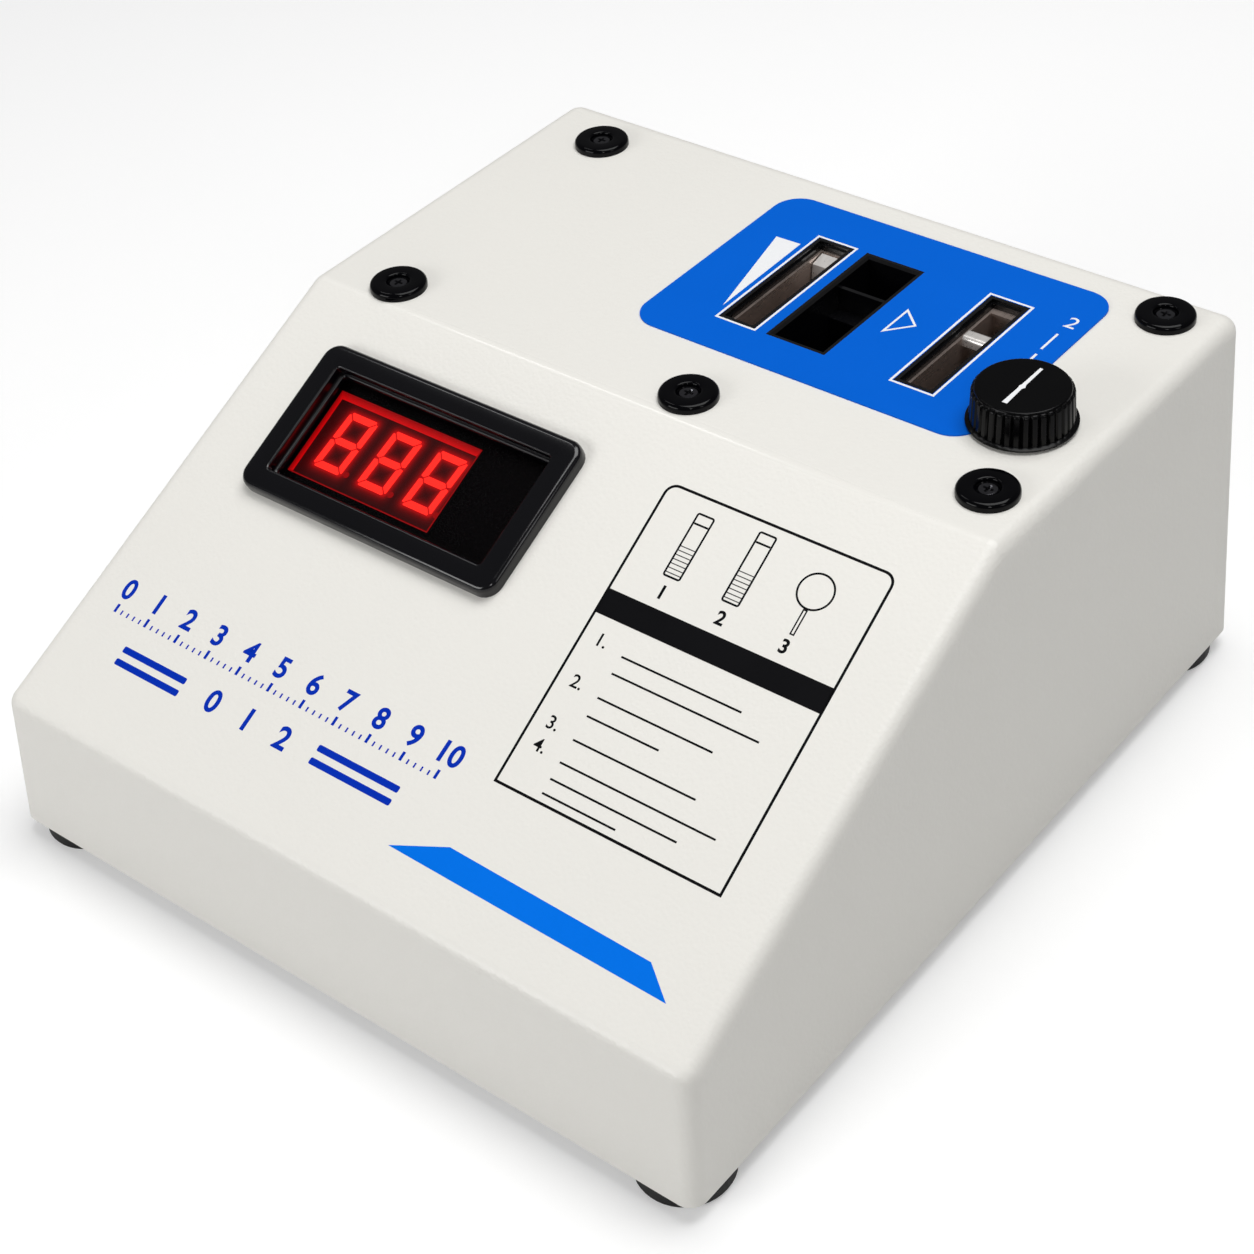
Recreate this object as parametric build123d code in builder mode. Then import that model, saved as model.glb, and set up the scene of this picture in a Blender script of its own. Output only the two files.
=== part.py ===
from build123d import *
import math
import os

# Benchtop colorimeter. Origin under the middle of the housing, on the surface it stands on.
# X runs to the right, Y to the back, Z up. All sizes are in millimetres, all angles in degrees.

os.makedirs("parts", exist_ok=True)

# ---------------------------------------------------------------- driving dimensions
# Housing
width = 242.0
depth = 262.0
housing_height = 108.0
front_height = 42.3
crease_setback = 139.0  # from the front of the footprint back to the crease
wall = 3.0
side_draft = 2.4
front_draft = 5.0
rear_draft = 1.2
corner_radius = 5.0
rim_radius = 4.5
crease_radius = 4.0

# Feet and base plate
foot_height = 6.0
foot_radius = 13.0
foot_inset = 13.6
foot_edge = 1.2
foot_bore_depth = 3.0
plate_thickness = 1.2
plate_gap = 0.4
boss_height = 22.0
boss_radius = 5.0
rib_thickness = 2.5
vent_length = 32.0
vent_width = 3.0
vent_pitch = 8.0
vent_rows = 6

# Fasteners and fits
screw_radius = 2.0
screw_clearance = 0.2
screw_head_radius = 3.6
screw_head_height = 2.2
small_head_radius = 2.8
small_head_height = 1.8
seat_gap = 0.1  # between pieces that are pushed into each other
side_gap = 0.3  # between pieces that slide past each other
running_gap = 0.05  # between a shaft and its bore

# Control places on the flat top, seen from above
screw_places = [(-90.0, 16.0), (13.6, 17.0), (102.0, 24.0), (-91.5, 110.5), (100.0, 116.0)]
cup_radius = 8.3
cup_height = 2.4
cup_edge = 1.2
cup_floor = 0.8
cup_dish_radius = 3.3
head_edge = 0.3
head_margin = 0.7
screw_tip = 1.0
label_width = 110.2
label_length = 78.2
label_x = 30.8
label_y = 77.6
label_radius = 8.5
label_thickness = 0.4

# Three wells under the label
slot_y = 76.4
slot_length = 48.4
slot_rim = 1.8
slot_step = 0.6
slot_step_depth = 1.0
liner_drop = 2.6  # top edge of a liner below the label
liner_thickness = 0.8
liner_floor_height = 58.0
left_slot_x = 3.2
left_slot_width = 12.2
right_slot_x = 61.0
right_slot_width = 12.4
well_x = 23.1
well_width = 19.4
well_length = 49.0
well_rim = 1.7
well_flange = 2.0
well_flange_step = 0.4
well_floor_height = 62.0
well_floor = 1.5
lip_chamfer = 0.7
divider_y = 84.6
divider_thickness = 1.2
divider_drop = 1.8
ledge_length = 5.0
ledge_drop = 9.0
panel_margin = 3.6
beam_height = 79.0
beam_radius = 4.0

# Cross-bar of the right slot and leaf spring of the left slot
bar_y = 84.0
bar_width = 4.6
bar_height = 3.0
bar_drop = 2.0
leaf_thickness = 0.5
leaf_length = 34.0
leaf_bow = 1.5
leaf_shelf = 4.6
leaf_shelf_fall = 1.0

# Optics deck
deck_thickness = 2.0
deck_edge_gap = 3.5
deck_flange = 9.0
nut_radius = 4.0
nut_height = 3.2

# Filter knob and its mechanism
knob_x = 93.0
knob_y = 54.5
knob_height = 10.6
knob_radius = 13.6
knob_taper = 2.0
knob_cap_radius = 12.5
knob_cap_height = 0.9
skirt_radius = 14.7
skirt_height = 0.8
flute_count = 36
flute_radius = 0.8
knob_hollow_radius = 8.6
knob_hollow_depth = 4.4
knob_lift = 0.4  # above the label
shaft_radius = 3.0
shaft_tip = 1.0
bushing_radius = 4.0
bushing_flange_radius = 7.0
bushing_flange = 2.5
bushing_rise = 3.4
bushing_nut_flats = 11.0
bushing_nut_height = 2.2
lock_washer_radius = 6.2
lock_washer_height = 0.6
set_screw_radius = 1.5
set_screw_length = 5.0
gear_module = 1.0
pinion_teeth = 18
addendum = 0.9
dedendum = 1.25
tooth_play = 0.2
tooth_root = 0.3  # how far a tooth reaches into the body below it
pressure_angle = 20.0
gear_width = 6.0
gear_bottom = 95.0
rack_teeth = 13
rack_step = 1.5
hub_radius = 5.0
detent_radius = 9.0
detent_thickness = 2.5
detent_bottom = 103.0
notch_radius = 1.6
notch_depth = 1.0
detent_leaf_length = 26.0
detent_leaf_height = 4.0
detent_tab = 6.0

# Filter slide, its guide and the light path
slide_thickness = 6.0
slide_margin = 7.5
slide_foot = 2.5
filter_radius = 6.0
filter_thickness = 3.0
filter_seat = 1.0
guide_plate = 2.4
guide_lip = 2.0
guide_length = 88.0
guide_flange = 8.0
lens_radius = 6.0
lens_thickness = 4.5
lens_edge = 1.0
lens_tube_wall = 2.0
lamp_x = 99.0
bulb_radius = 7.5
lamp_base_radius = 5.0
lamp_base_height = 9.0
lamp_neck_step = 0.5
lamp_neck_length = 5.0
lamp_holder_radius = 7.5
lamp_holder_height = 11.0
bracket_thickness = 1.5
bracket_width = 16.0
bracket_margin = 1.0
bracket_leg_x = 109.0
tube_wall = 1.5
cell_radius = 5.0
cell_thickness = 4.0
cell_block = 20.0
cell_board_thickness = 1.6

# Panel meter, close to the usual 96 x 48 mm size, in its own place on the slope
meter_x = -46.3
meter_s = 108.0  # up the slope, from the front edge to the middle of the meter
bezel_width = 93.0
bezel_length = 49.1
bezel_rise = 4.0
bezel_radius = 5.0
bezel_edge = 1.8
window_width = 78.0
window_length = 35.0
window_radius = 1.0
window_drop = 1.2
window_thickness = 1.0
cutout_width = 89.0
cutout_length = 45.0
sleeve_depth = 6.0
digit_count = 3
digit_width = 17.4
digit_length = 27.6
digit_depth = 8.0
digit_left_gap = 0.4
case_depth = 52.0
case_wall = 1.8
meter_board_thickness = 1.6
terminal_count = 7
terminal_pitch = 5.0
terminal_depth = 10.0
terminal_rise = 8.0
clip_width = 8.0
clip_length = 22.0
clip_thickness = 2.0

# Main board
board_x = -35.0
board_y = 7.5
board_width = 150.0
board_length = 115.0
board_thickness = 1.6
board_hole_inset = 5.0
standoff_height = 8.0
standoff_radius = 3.5
transformer_x = -82.0
transformer_y = 38.0
core_width = 42.0
core_height = 35.0
core_thickness = 15.0
coil_width = 26.0
coil_length = 31.0
coil_height = 22.0
coil_corner = 3.0
coil_flange = 2.0
# Capacitors by their place, radius and height
capacitor_places = [(-45.0, 45.0, 8.0, 26.0), (-22.0, 45.0, 8.0, 26.0), (-5.0, 20.0, 5.0, 13.0)]
chip_places = [(-70.0, -15.0), (-40.0, -15.0), (-10.0, -15.0)]
chip_width = 20.0
chip_length = 7.0
chip_height = 4.5
meter_connector = (-37.0, 3.0)
sensor_connector = (-36.0, 58.0)
lamp_connector = (28.0, 30.0)
connector_width = 14.0
connector_length = 6.0
connector_height = 9.0
sink_x = 18.0
sink_y = 52.0
sink_width = 24.0
sink_height = 25.0
sink_depth = 12.0
sink_fin = 1.6
sink_fins = 6
regulator_width = 10.0
regulator_height = 16.0
regulator_thickness = 4.4

# Rear pocket and its fittings
pocket_x = -38.0
pocket_z = 35.0
pocket_width = 124.0
pocket_height = 40.0
pocket_depth = 6.0
pocket_radius = 4.0
pocket_margin = 1.0  # beside the inlet and the trimmer
small_corner = 1.0
inlet_flange_width = 50.0
inlet_flange_height = 24.0
inlet_flange = 2.5
inlet_body_width = 27.0
inlet_body_height = 19.6
inlet_body_depth = 22.0
inlet_socket_width = 23.6
inlet_socket_height = 16.2
inlet_socket_depth = 16.0
inlet_screw_spacing = 40.0
inlet_screw_length = 10.0
contact_width = 2.0
contact_height = 4.0
contact_spacing = 14.0
contact_length = 13.0
switch_x = -30.0
switch_cutout_width = 19.2
switch_cutout_height = 12.9
switch_bezel_width = 21.0
switch_bezel_height = 15.0
switch_bezel = 1.6
switch_body_depth = 16.0
rocker_length = 15.0
rocker_width = 9.0
rocker_swing = 8.0
rocker_rise = 4.0
rocker_dip = 0.8
rocker_end_gap = 1.0
rocker_pin_depth = 1.0
switch_cavity = 8.0
fuse_x = -5.0
fuse_radius = 6.2
fuse_flange_radius = 7.5
fuse_flange = 1.6
fuse_body_depth = 30.0
fuse_cap_radius = 4.6
fuse_cap_rise = 3.0
fuse_cap_depth = 8.0
fuse_floor = 1.0
fuse_grip = 5.0  # how deep the cap holds the fuse
driver_slot = 1.2
fuse_link_radius = 2.5
fuse_link_length = 20.0
lead_radius = 1.2
lead_bend = 8.0
mains_lead_pitch = 5.0
trimmer_shaft_radius = 2.0
trimmer_bushing_radius = 3.5
trimmer_body = 10.0
trimmer_body_depth = 7.0
trimmer_bushing_rise = 3.0
trimmer_shaft_rise = 2.0
trimmer_bore = 3.0

# ---------------------------------------------------------------- derived places
bottom = foot_height
top = bottom + housing_height
plate_top = bottom + plate_thickness
front_lean = math.tan(math.radians(front_draft))
rear_lean = math.tan(math.radians(rear_draft))
side_lean = math.tan(math.radians(side_draft))
slope_foot_y = -depth / 2 + front_lean * front_height
slope_foot_z = bottom + front_height
crease_y = -depth / 2 + crease_setback
slope_angle = math.atan2(top - slope_foot_z, crease_y - slope_foot_y)
slope = Plane(
    origin=(0, slope_foot_y, slope_foot_z),
    x_dir=(1, 0, 0),
    z_dir=(0, -math.sin(slope_angle), math.cos(slope_angle)),
)
label_top = top + label_thickness
deck_top = top - wall
deck_bottom = deck_top - deck_thickness
foot_x = width / 2 - foot_inset
foot_y = depth / 2 - foot_inset
board_bottom = plate_top + standoff_height
board_top = board_bottom + board_thickness
pocket_y = depth / 2 - pocket_depth
inlet_x = pocket_x - pocket_width / 2 + pocket_margin + inlet_flange_width / 2
trimmer_x = pocket_x + pocket_width / 2 - pocket_margin - trimmer_body
panel_left = left_slot_x - left_slot_width / 2 - panel_margin
panel_right = right_slot_x + right_slot_width / 2 + panel_margin
panel_width = panel_right - panel_left
panel_x = (panel_left + panel_right) / 2
panel_length = well_length + 2 * panel_margin
well_cavity_width = well_width - 2 * well_rim
well_cavity_length = well_length - 2 * well_rim
well_front_y = slot_y - well_cavity_length / 2
ledge_y = divider_y - divider_thickness / 2 - ledge_length / 2
beam_y = (well_front_y + ledge_y - ledge_length / 2) / 2
pitch_radius = gear_module * pinion_teeth / 2
filter_pitch = pitch_radius * math.pi / 2
rack_pitch_x = knob_x - pitch_radius
slide_right = rack_pitch_x - dedendum
slide_left = slide_right - slide_thickness
gear_top = gear_bottom + gear_width
guide_right = slide_left - side_gap
guide_left = guide_right - guide_plate
knob_bottom = label_top + knob_lift


# ---------------------------------------------------------------- helpers
def save(piece, label):
    """Name a finished piece and write it to its own file."""
    piece.part.label = label
    export_step(piece.part, f"parts/{label}.step")


def turned(points, origin=(0, 0, 0), direction=(0, 0, 1), across=(1, 0, 0)):
    """A solid turned about a direction, from points of radius and height."""
    section = Plane(origin=origin, x_dir=across, z_dir=Vector(*across).cross(Vector(*direction)))
    with BuildPart() as piece:
        with BuildSketch(section):
            with BuildLine():
                Polyline(*points, close=True)
            make_face()
        revolve(axis=Axis(origin, direction))
    return piece.part


def is_rim(edge):
    """True for an edge round the sloped or the flat top, and false for the lines of the crease."""
    near_crease = abs((edge @ 0.5).Y - crease_y) < crease_radius + wall
    return not (near_crease and abs((edge @ 1 - edge @ 0).X) > width / 2)


def housing_form(inset, floor):
    """The drafted, rounded form of the housing, moved inwards by inset, standing on floor."""
    drop = bottom - floor
    half_top = width / 2 - side_lean * housing_height
    half_floor = width / 2 + side_lean * drop
    with BuildPart() as form:
        with BuildSketch(Plane.YZ) as side_view:
            with BuildLine():
                Polyline(
                    (-depth / 2 - front_lean * drop, floor),
                    (slope_foot_y, slope_foot_z),
                    (crease_y, top),
                    (depth / 2 - rear_lean * housing_height, top),
                    (depth / 2 + rear_lean * drop, floor),
                    close=True,
                )
            make_face()
            crease = side_view.vertices().sort_by_distance((0, crease_y, top))[0]
            fillet(crease, crease_radius)
            if inset:
                offset(amount=-inset)
        extrude(amount=width, both=True)
        with BuildSketch(Plane.XZ):
            with BuildLine():
                Polyline(
                    (-half_floor, floor),
                    (-half_top, top),
                    (half_top, top),
                    (half_floor, floor),
                    close=True,
                )
            make_face()
            if inset:
                offset(amount=-inset)
        extrude(amount=depth, both=True, mode=Mode.INTERSECT)
        upright = form.edges().filter_by(lambda edge: abs((edge @ 1 - edge @ 0).Z) > front_height / 2)
        corners = upright.filter_by(lambda edge: abs((edge @ 1 - edge @ 0).Y) < front_height / 2)
        fillet(corners, corner_radius - inset)
        standing = form.edges().filter_by(lambda edge: (edge @ 0.5).Z > slope_foot_z - 2 * wall)
        fillet(standing.filter_by(is_rim), rim_radius - inset)
    return form.part


def upright(y):
    """The upright plane at the depth y that faces the front, with X to the right and Z up."""
    return Plane(origin=(0, y, 0), x_dir=(1, 0, 0), z_dir=(0, -1, 0))


def side_plane(x):
    """The plane that faces right at the place x, with Y to the right and Z up."""
    return Plane.YZ.offset(x)


# ---------------------------------------------------------------- housing
boss_bottom = plate_top
rib_length = foot_inset - wall / 2

with BuildPart() as corner_bosses:
    with BuildSketch(Plane.XY.offset(boss_bottom)):
        for side in (-1, 1):
            for end in (-1, 1):
                with Locations((side * foot_x, end * foot_y)):
                    Circle(boss_radius)
                with Locations((side * (foot_x + rib_length / 2), end * foot_y)):
                    Rectangle(rib_length, rib_thickness)
                with Locations((side * foot_x, end * (foot_y + rib_length / 2))):
                    Rectangle(rib_thickness, rib_length)
    extrude(amount=boss_height)

outer_form = housing_form(0, bottom)
inner_form = housing_form(wall, bottom - 2 * corner_radius)

with BuildPart() as shell:
    add(outer_form)
    add(inner_form, mode=Mode.SUBTRACT)
    add(corner_bosses.part)
    # The rear pocket, with a wall of its own behind it
    with BuildSketch(upright(pocket_y - wall)):
        with Locations((pocket_x, pocket_z)):
            RectangleRounded(pocket_width + 2 * wall, pocket_height + 2 * wall, pocket_radius + wall)
    extrude(amount=-(wall + pocket_depth))
    add(outer_form, mode=Mode.INTERSECT)
    with BuildSketch(upright(pocket_y)):
        with Locations((pocket_x, pocket_z)):
            RectangleRounded(pocket_width, pocket_height, pocket_radius)
    extrude(amount=-2 * pocket_depth, mode=Mode.SUBTRACT)
    with BuildSketch(upright(pocket_y)):
        with Locations((inlet_x, pocket_z)):
            RectangleRounded(inlet_body_width + 2 * side_gap, inlet_body_height + 2 * side_gap, small_corner)
        with Locations((inlet_x, pocket_z)):
            with GridLocations(inlet_screw_spacing, 0, 2, 1):
                Circle(set_screw_radius + screw_clearance)
        with Locations((switch_x, pocket_z)):
            Rectangle(switch_cutout_width + 2 * seat_gap, switch_cutout_height + 2 * seat_gap)
        with Locations((fuse_x, pocket_z)):
            Circle(fuse_radius + seat_gap)
        with Locations((trimmer_x, pocket_z)):
            Circle(trimmer_bushing_radius + seat_gap)
    extrude(amount=2 * wall, mode=Mode.SUBTRACT)
    # The meter cut-out in the slope
    with BuildSketch(slope):
        with Locations((meter_x, meter_s)):
            Rectangle(cutout_width, cutout_length)
    extrude(amount=2 * wall, both=True, mode=Mode.SUBTRACT)
    # The window for the slot panel, the bushing hole and the five screw holes
    with BuildSketch(Plane.XY.offset(top)):
        with Locations((panel_x, slot_y)):
            RectangleRounded(panel_width + 2 * seat_gap, panel_length + 2 * seat_gap, wall)
        with Locations((knob_x, knob_y)):
            Circle(bushing_radius + seat_gap)
        with Locations(*screw_places):
            Circle(screw_radius + screw_clearance)
    extrude(amount=2 * wall, both=True, mode=Mode.SUBTRACT)
    with BuildSketch(Plane.XY.offset(boss_bottom)):
        with GridLocations(2 * foot_x, 2 * foot_y, 2, 2):
            Circle(screw_radius)
    extrude(amount=boss_height - wall, mode=Mode.SUBTRACT)
save(shell, "shell")

# ---------------------------------------------------------------- base plate, feet and their screws
with BuildPart() as base_plate:
    with BuildSketch(Plane.XY.offset(bottom)):
        RectangleRounded(
            width - 2 * (wall + plate_gap),
            depth - 2 * (wall + plate_gap),
            corner_radius - wall,
        )
        with GridLocations(2 * foot_x, 2 * foot_y, 2, 2):
            Circle(screw_radius + screw_clearance, mode=Mode.SUBTRACT)
        with Locations((board_x, board_y)):
            with GridLocations(
                board_width - 2 * board_hole_inset, board_length - 2 * board_hole_inset, 2, 2
            ):
                Circle(set_screw_radius, mode=Mode.SUBTRACT)
        with Locations((lamp_x - vent_length, beam_y)):
            with GridLocations(0, vent_pitch, 1, vent_rows):
                SlotOverall(vent_length, vent_width, mode=Mode.SUBTRACT)
        with Locations((lamp_x - vent_length, -beam_y)):
            with GridLocations(0, vent_pitch, 1, vent_rows):
                SlotOverall(vent_length, vent_width, mode=Mode.SUBTRACT)
    extrude(amount=plate_thickness)
save(base_plate, "base_plate")

foot_bore = screw_head_radius + side_gap
foot_outline = [
    (screw_radius + screw_clearance, bottom),
    (foot_radius, bottom),
    (foot_radius, foot_edge),
    (foot_radius - foot_edge / 3, foot_edge / 3),
    (foot_radius - foot_edge, 0),
    (foot_bore, 0),
    (foot_bore, foot_bore_depth),
    (screw_radius + screw_clearance, foot_bore_depth),
]
foot = turned(foot_outline)
with BuildPart() as rubber_feet:
    with GridLocations(2 * foot_x, 2 * foot_y, 2, 2):
        add(foot)
save(rubber_feet, "rubber_feet")

foot_screw_outline = [
    (0, foot_bore_depth - screw_head_height),
    (screw_head_radius, foot_bore_depth - screw_head_height),
    (screw_head_radius, foot_bore_depth),
    (screw_radius, foot_bore_depth),
    (screw_radius, boss_bottom + boss_height - 2 * wall),
    (0, boss_bottom + boss_height - 2 * wall),
]
foot_screw = turned(foot_screw_outline)
with BuildPart() as foot_screws:
    with GridLocations(2 * foot_x, 2 * foot_y, 2, 2):
        add(foot_screw)
save(foot_screws, "foot_screws")

# ---------------------------------------------------------------- optics deck and what holds it
deck_right = width / 2 - side_lean * housing_height - wall - deck_edge_gap
deck_front = crease_y + crease_radius / 2
deck_rear = depth / 2 - rear_lean * housing_height - wall - deck_edge_gap
wells_left = left_slot_x - left_slot_width / 2 - side_gap
wells_right = right_slot_x + right_slot_width / 2 + side_gap

with BuildPart() as optics_deck:
    with BuildSketch(Plane.XY.offset(deck_bottom)):
        with Locations((0, (deck_front + deck_rear) / 2)):
            RectangleRounded(2 * deck_right, deck_rear - deck_front, wall)
        with Locations(((wells_left + wells_right) / 2, slot_y)):
            Rectangle(wells_right - wells_left, well_length + 2 * side_gap, mode=Mode.SUBTRACT)
        with Locations((knob_x, knob_y)):
            Circle(bushing_radius + seat_gap, mode=Mode.SUBTRACT)
        with Locations(*screw_places):
            Circle(screw_radius + screw_clearance, mode=Mode.SUBTRACT)
    extrude(amount=deck_thickness)
    # A folded flange along the rear edge stiffens the plate
    with BuildSketch(Plane.XY.offset(deck_bottom)):
        with Locations((0, deck_rear - deck_thickness / 2)):
            Rectangle(2 * (deck_right - 4 * wall), deck_thickness)
    extrude(amount=-deck_flange)
save(optics_deck, "optics_deck")

cup_outline = [
    (screw_radius + screw_clearance, 0),
    (cup_radius, 0),
    (cup_radius, cup_height - cup_edge),
    (cup_radius - cup_edge / 3, cup_height - cup_edge / 3),
    (cup_radius - cup_edge, cup_height),
    (cup_dish_radius + cup_floor, cup_height),
    (cup_dish_radius, cup_height - cup_floor),
    (screw_radius + screw_clearance, cup_floor),
]
cup = turned(cup_outline)
with BuildPart() as screw_cups:
    with Locations(*[(x, y, top) for x, y in screw_places]):
        add(cup)
save(screw_cups, "screw_cups")

head_top = cup_height - cup_floor
screw_end = deck_bottom - nut_height - screw_tip - top
deck_screw_outline = [
    (0, head_top),
    (cup_dish_radius - head_margin - head_edge, head_top),
    (cup_dish_radius - head_margin, head_top - head_edge),
    (screw_radius, head_top / 2 + head_edge),
    (screw_radius, screw_end),
    (0, screw_end),
]
deck_screw = turned(deck_screw_outline)
with BuildPart() as deck_screws:
    with Locations(*[(x, y, top) for x, y in screw_places]):
        add(deck_screw)
    # The nuts below the deck
    with BuildSketch(Plane.XY.offset(deck_bottom)):
        with Locations(*screw_places):
            RegularPolygon(nut_radius, 6)
            Circle(screw_radius + seat_gap / 2, mode=Mode.SUBTRACT)
    extrude(amount=-nut_height)
save(deck_screws, "deck_screws")

# ---------------------------------------------------------------- label and slot panel
with BuildPart() as label:
    with BuildSketch(Plane.XY.offset(top)):
        with Locations((label_x, label_y)):
            RectangleRounded(label_width, label_length, label_radius)
        with Locations((left_slot_x, slot_y)):
            Rectangle(left_slot_width, slot_length, mode=Mode.SUBTRACT)
        with Locations((right_slot_x, slot_y)):
            Rectangle(right_slot_width, slot_length, mode=Mode.SUBTRACT)
        with Locations((well_x, slot_y)):
            Rectangle(well_width, well_length, mode=Mode.SUBTRACT)
    extrude(amount=label_thickness)
save(label, "label")

with BuildPart() as slot_panel:
    with BuildSketch(Plane.XY.offset(deck_top)):
        with Locations((panel_x, slot_y)):
            RectangleRounded(panel_width, panel_length, wall - seat_gap)
        with Locations((left_slot_x, slot_y)):
            Rectangle(left_slot_width, slot_length, mode=Mode.SUBTRACT)
        with Locations((right_slot_x, slot_y)):
            Rectangle(right_slot_width, slot_length, mode=Mode.SUBTRACT)
        with Locations((well_x, slot_y)):
            Rectangle(well_width, well_length, mode=Mode.SUBTRACT)
    extrude(amount=wall)
save(slot_panel, "slot_panel")

# ---------------------------------------------------------------- left and right slots
collar_bottom = deck_bottom
liner_top = label_top - liner_drop


def slot_collar(x, slot_width):
    """The moulded collar of a slot, with a step inside its rim."""
    opening_width = slot_width - 2 * slot_rim
    opening_length = slot_length - 2 * slot_rim
    with BuildPart() as collar:
        with BuildSketch(Plane.XY.offset(collar_bottom)):
            with Locations((x, slot_y)):
                Rectangle(slot_width, slot_length)
                Rectangle(opening_width, opening_length, mode=Mode.SUBTRACT)
        extrude(amount=label_top - collar_bottom)
        with BuildSketch(Plane.XY.offset(label_top)):
            with Locations((x, slot_y)):
                Rectangle(opening_width + 2 * slot_step, opening_length + 2 * slot_step)
        extrude(amount=-slot_step_depth, mode=Mode.SUBTRACT)
    return collar


def slot_liner(x, slot_width, lip):
    """The folded sheet-metal box of a slot, open at the top, with a hole for the light beam."""
    outer_width = slot_width - 2 * slot_rim
    outer_length = slot_length - 2 * slot_rim
    with BuildPart() as liner:
        with BuildSketch(Plane.XY.offset(liner_floor_height)):
            with Locations((x, slot_y)):
                Rectangle(outer_width, outer_length)
        extrude(amount=liner_top - liner_floor_height)
        with BuildSketch(Plane.XY.offset(liner_floor_height + liner_thickness)):
            with Locations((x, slot_y)):
                Rectangle(outer_width - 2 * liner_thickness, outer_length - 2 * liner_thickness)
        extrude(amount=liner_top, mode=Mode.SUBTRACT)
        with BuildSketch(side_plane(x)):
            with Locations((beam_y, beam_height)):
                Circle(beam_radius)
        extrude(amount=outer_width, both=True, mode=Mode.SUBTRACT)
        if lip:
            # The rear wall is folded over into a bright lip
            with BuildSketch(Plane.XY.offset(liner_top)):
                with Locations((x, slot_y + outer_length / 2 - lip / 2)):
                    Rectangle(outer_width, lip)
            extrude(amount=-liner_thickness)
    return liner


left_slot_collar = slot_collar(left_slot_x, left_slot_width)
save(left_slot_collar, "left_slot_collar")
right_slot_collar = slot_collar(right_slot_x, right_slot_width)
save(right_slot_collar, "right_slot_collar")
left_slot_liner = slot_liner(left_slot_x, left_slot_width, 0)
save(left_slot_liner, "left_slot_liner")
right_slot_liner = slot_liner(right_slot_x, right_slot_width, 3 * liner_thickness)
save(right_slot_liner, "right_slot_liner")

# The leaf starts at the rear wall of the left liner, runs forwards as a shelf and hangs down in a bow
leaf_width = left_slot_width - 2 * slot_rim - 2 * liner_thickness - 2 * side_gap
leaf_rear = slot_y + slot_length / 2 - slot_rim - liner_thickness - side_gap
leaf_front = leaf_rear - leaf_shelf
leaf_top = liner_top - leaf_thickness
leaf_knee = leaf_top - leaf_shelf_fall
with BuildPart() as left_slot_spring:
    with BuildSketch(side_plane(left_slot_x - leaf_width / 2)):
        with BuildLine():
            Line((leaf_rear, leaf_top), (leaf_front, leaf_knee))
            ThreePointArc(
                (leaf_front, leaf_knee),
                (leaf_front - leaf_bow, leaf_top - leaf_length / 2),
                (leaf_front, leaf_top - leaf_length),
            )
        trace(line_width=leaf_thickness)
    extrude(amount=leaf_width)
save(left_slot_spring, "left_slot_spring")

bar_span = right_slot_width - 2 * slot_rim - 2 * liner_thickness
with BuildPart() as right_slot_bar:
    with BuildSketch(side_plane(right_slot_x - bar_span / 2)):
        with Locations((bar_y, label_top - bar_drop - bar_height / 2)):
            Rectangle(bar_width, bar_height)
    extrude(amount=bar_span)
    fillet(right_slot_bar.edges().filter_by(Axis.X).group_by(Axis.Z)[-1], bar_height / 2 - seat_gap)
save(right_slot_bar, "right_slot_bar")

# ---------------------------------------------------------------- cuvette well
well_body_width = well_width - 2 * well_flange_step
well_body_length = well_length - 2 * well_flange_step
with BuildPart() as cuvette_well:
    with BuildSketch(Plane.XY.offset(well_floor_height)):
        with Locations((well_x, slot_y)):
            Rectangle(well_body_width, well_body_length)
    extrude(amount=label_top - well_floor_height)
    with BuildSketch(Plane.XY.offset(label_top)):
        with Locations((well_x, slot_y)):
            Rectangle(well_width, well_length)
    extrude(amount=-well_flange)
    with BuildSketch(Plane.XY.offset(well_floor_height + well_floor)):
        with Locations((well_x, slot_y)):
            Rectangle(well_cavity_width, well_cavity_length)
    extrude(amount=housing_height, mode=Mode.SUBTRACT)
    mouth = cuvette_well.faces().sort_by(Axis.Z)[-1].inner_wires()[0].edges()
    chamfer(mouth, lip_chamfer)
    with BuildSketch(side_plane(well_x)):
        with Locations((beam_y, beam_height)):
            Circle(beam_radius)
    extrude(amount=well_width, both=True, mode=Mode.SUBTRACT)
    # A thin divider, and in front of it a lower ledge
    with BuildSketch(Plane.XY.offset(well_floor_height + well_floor)):
        with Locations((well_x, divider_y)):
            Rectangle(well_cavity_width, divider_thickness)
    extrude(amount=label_top - divider_drop - well_floor_height - well_floor)
    with BuildSketch(Plane.XY.offset(well_floor_height + well_floor)):
        with Locations((well_x, ledge_y)):
            Rectangle(well_cavity_width, ledge_length)
    extrude(amount=label_top - ledge_drop - well_floor_height - well_floor)
save(cuvette_well, "cuvette_well")

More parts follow.
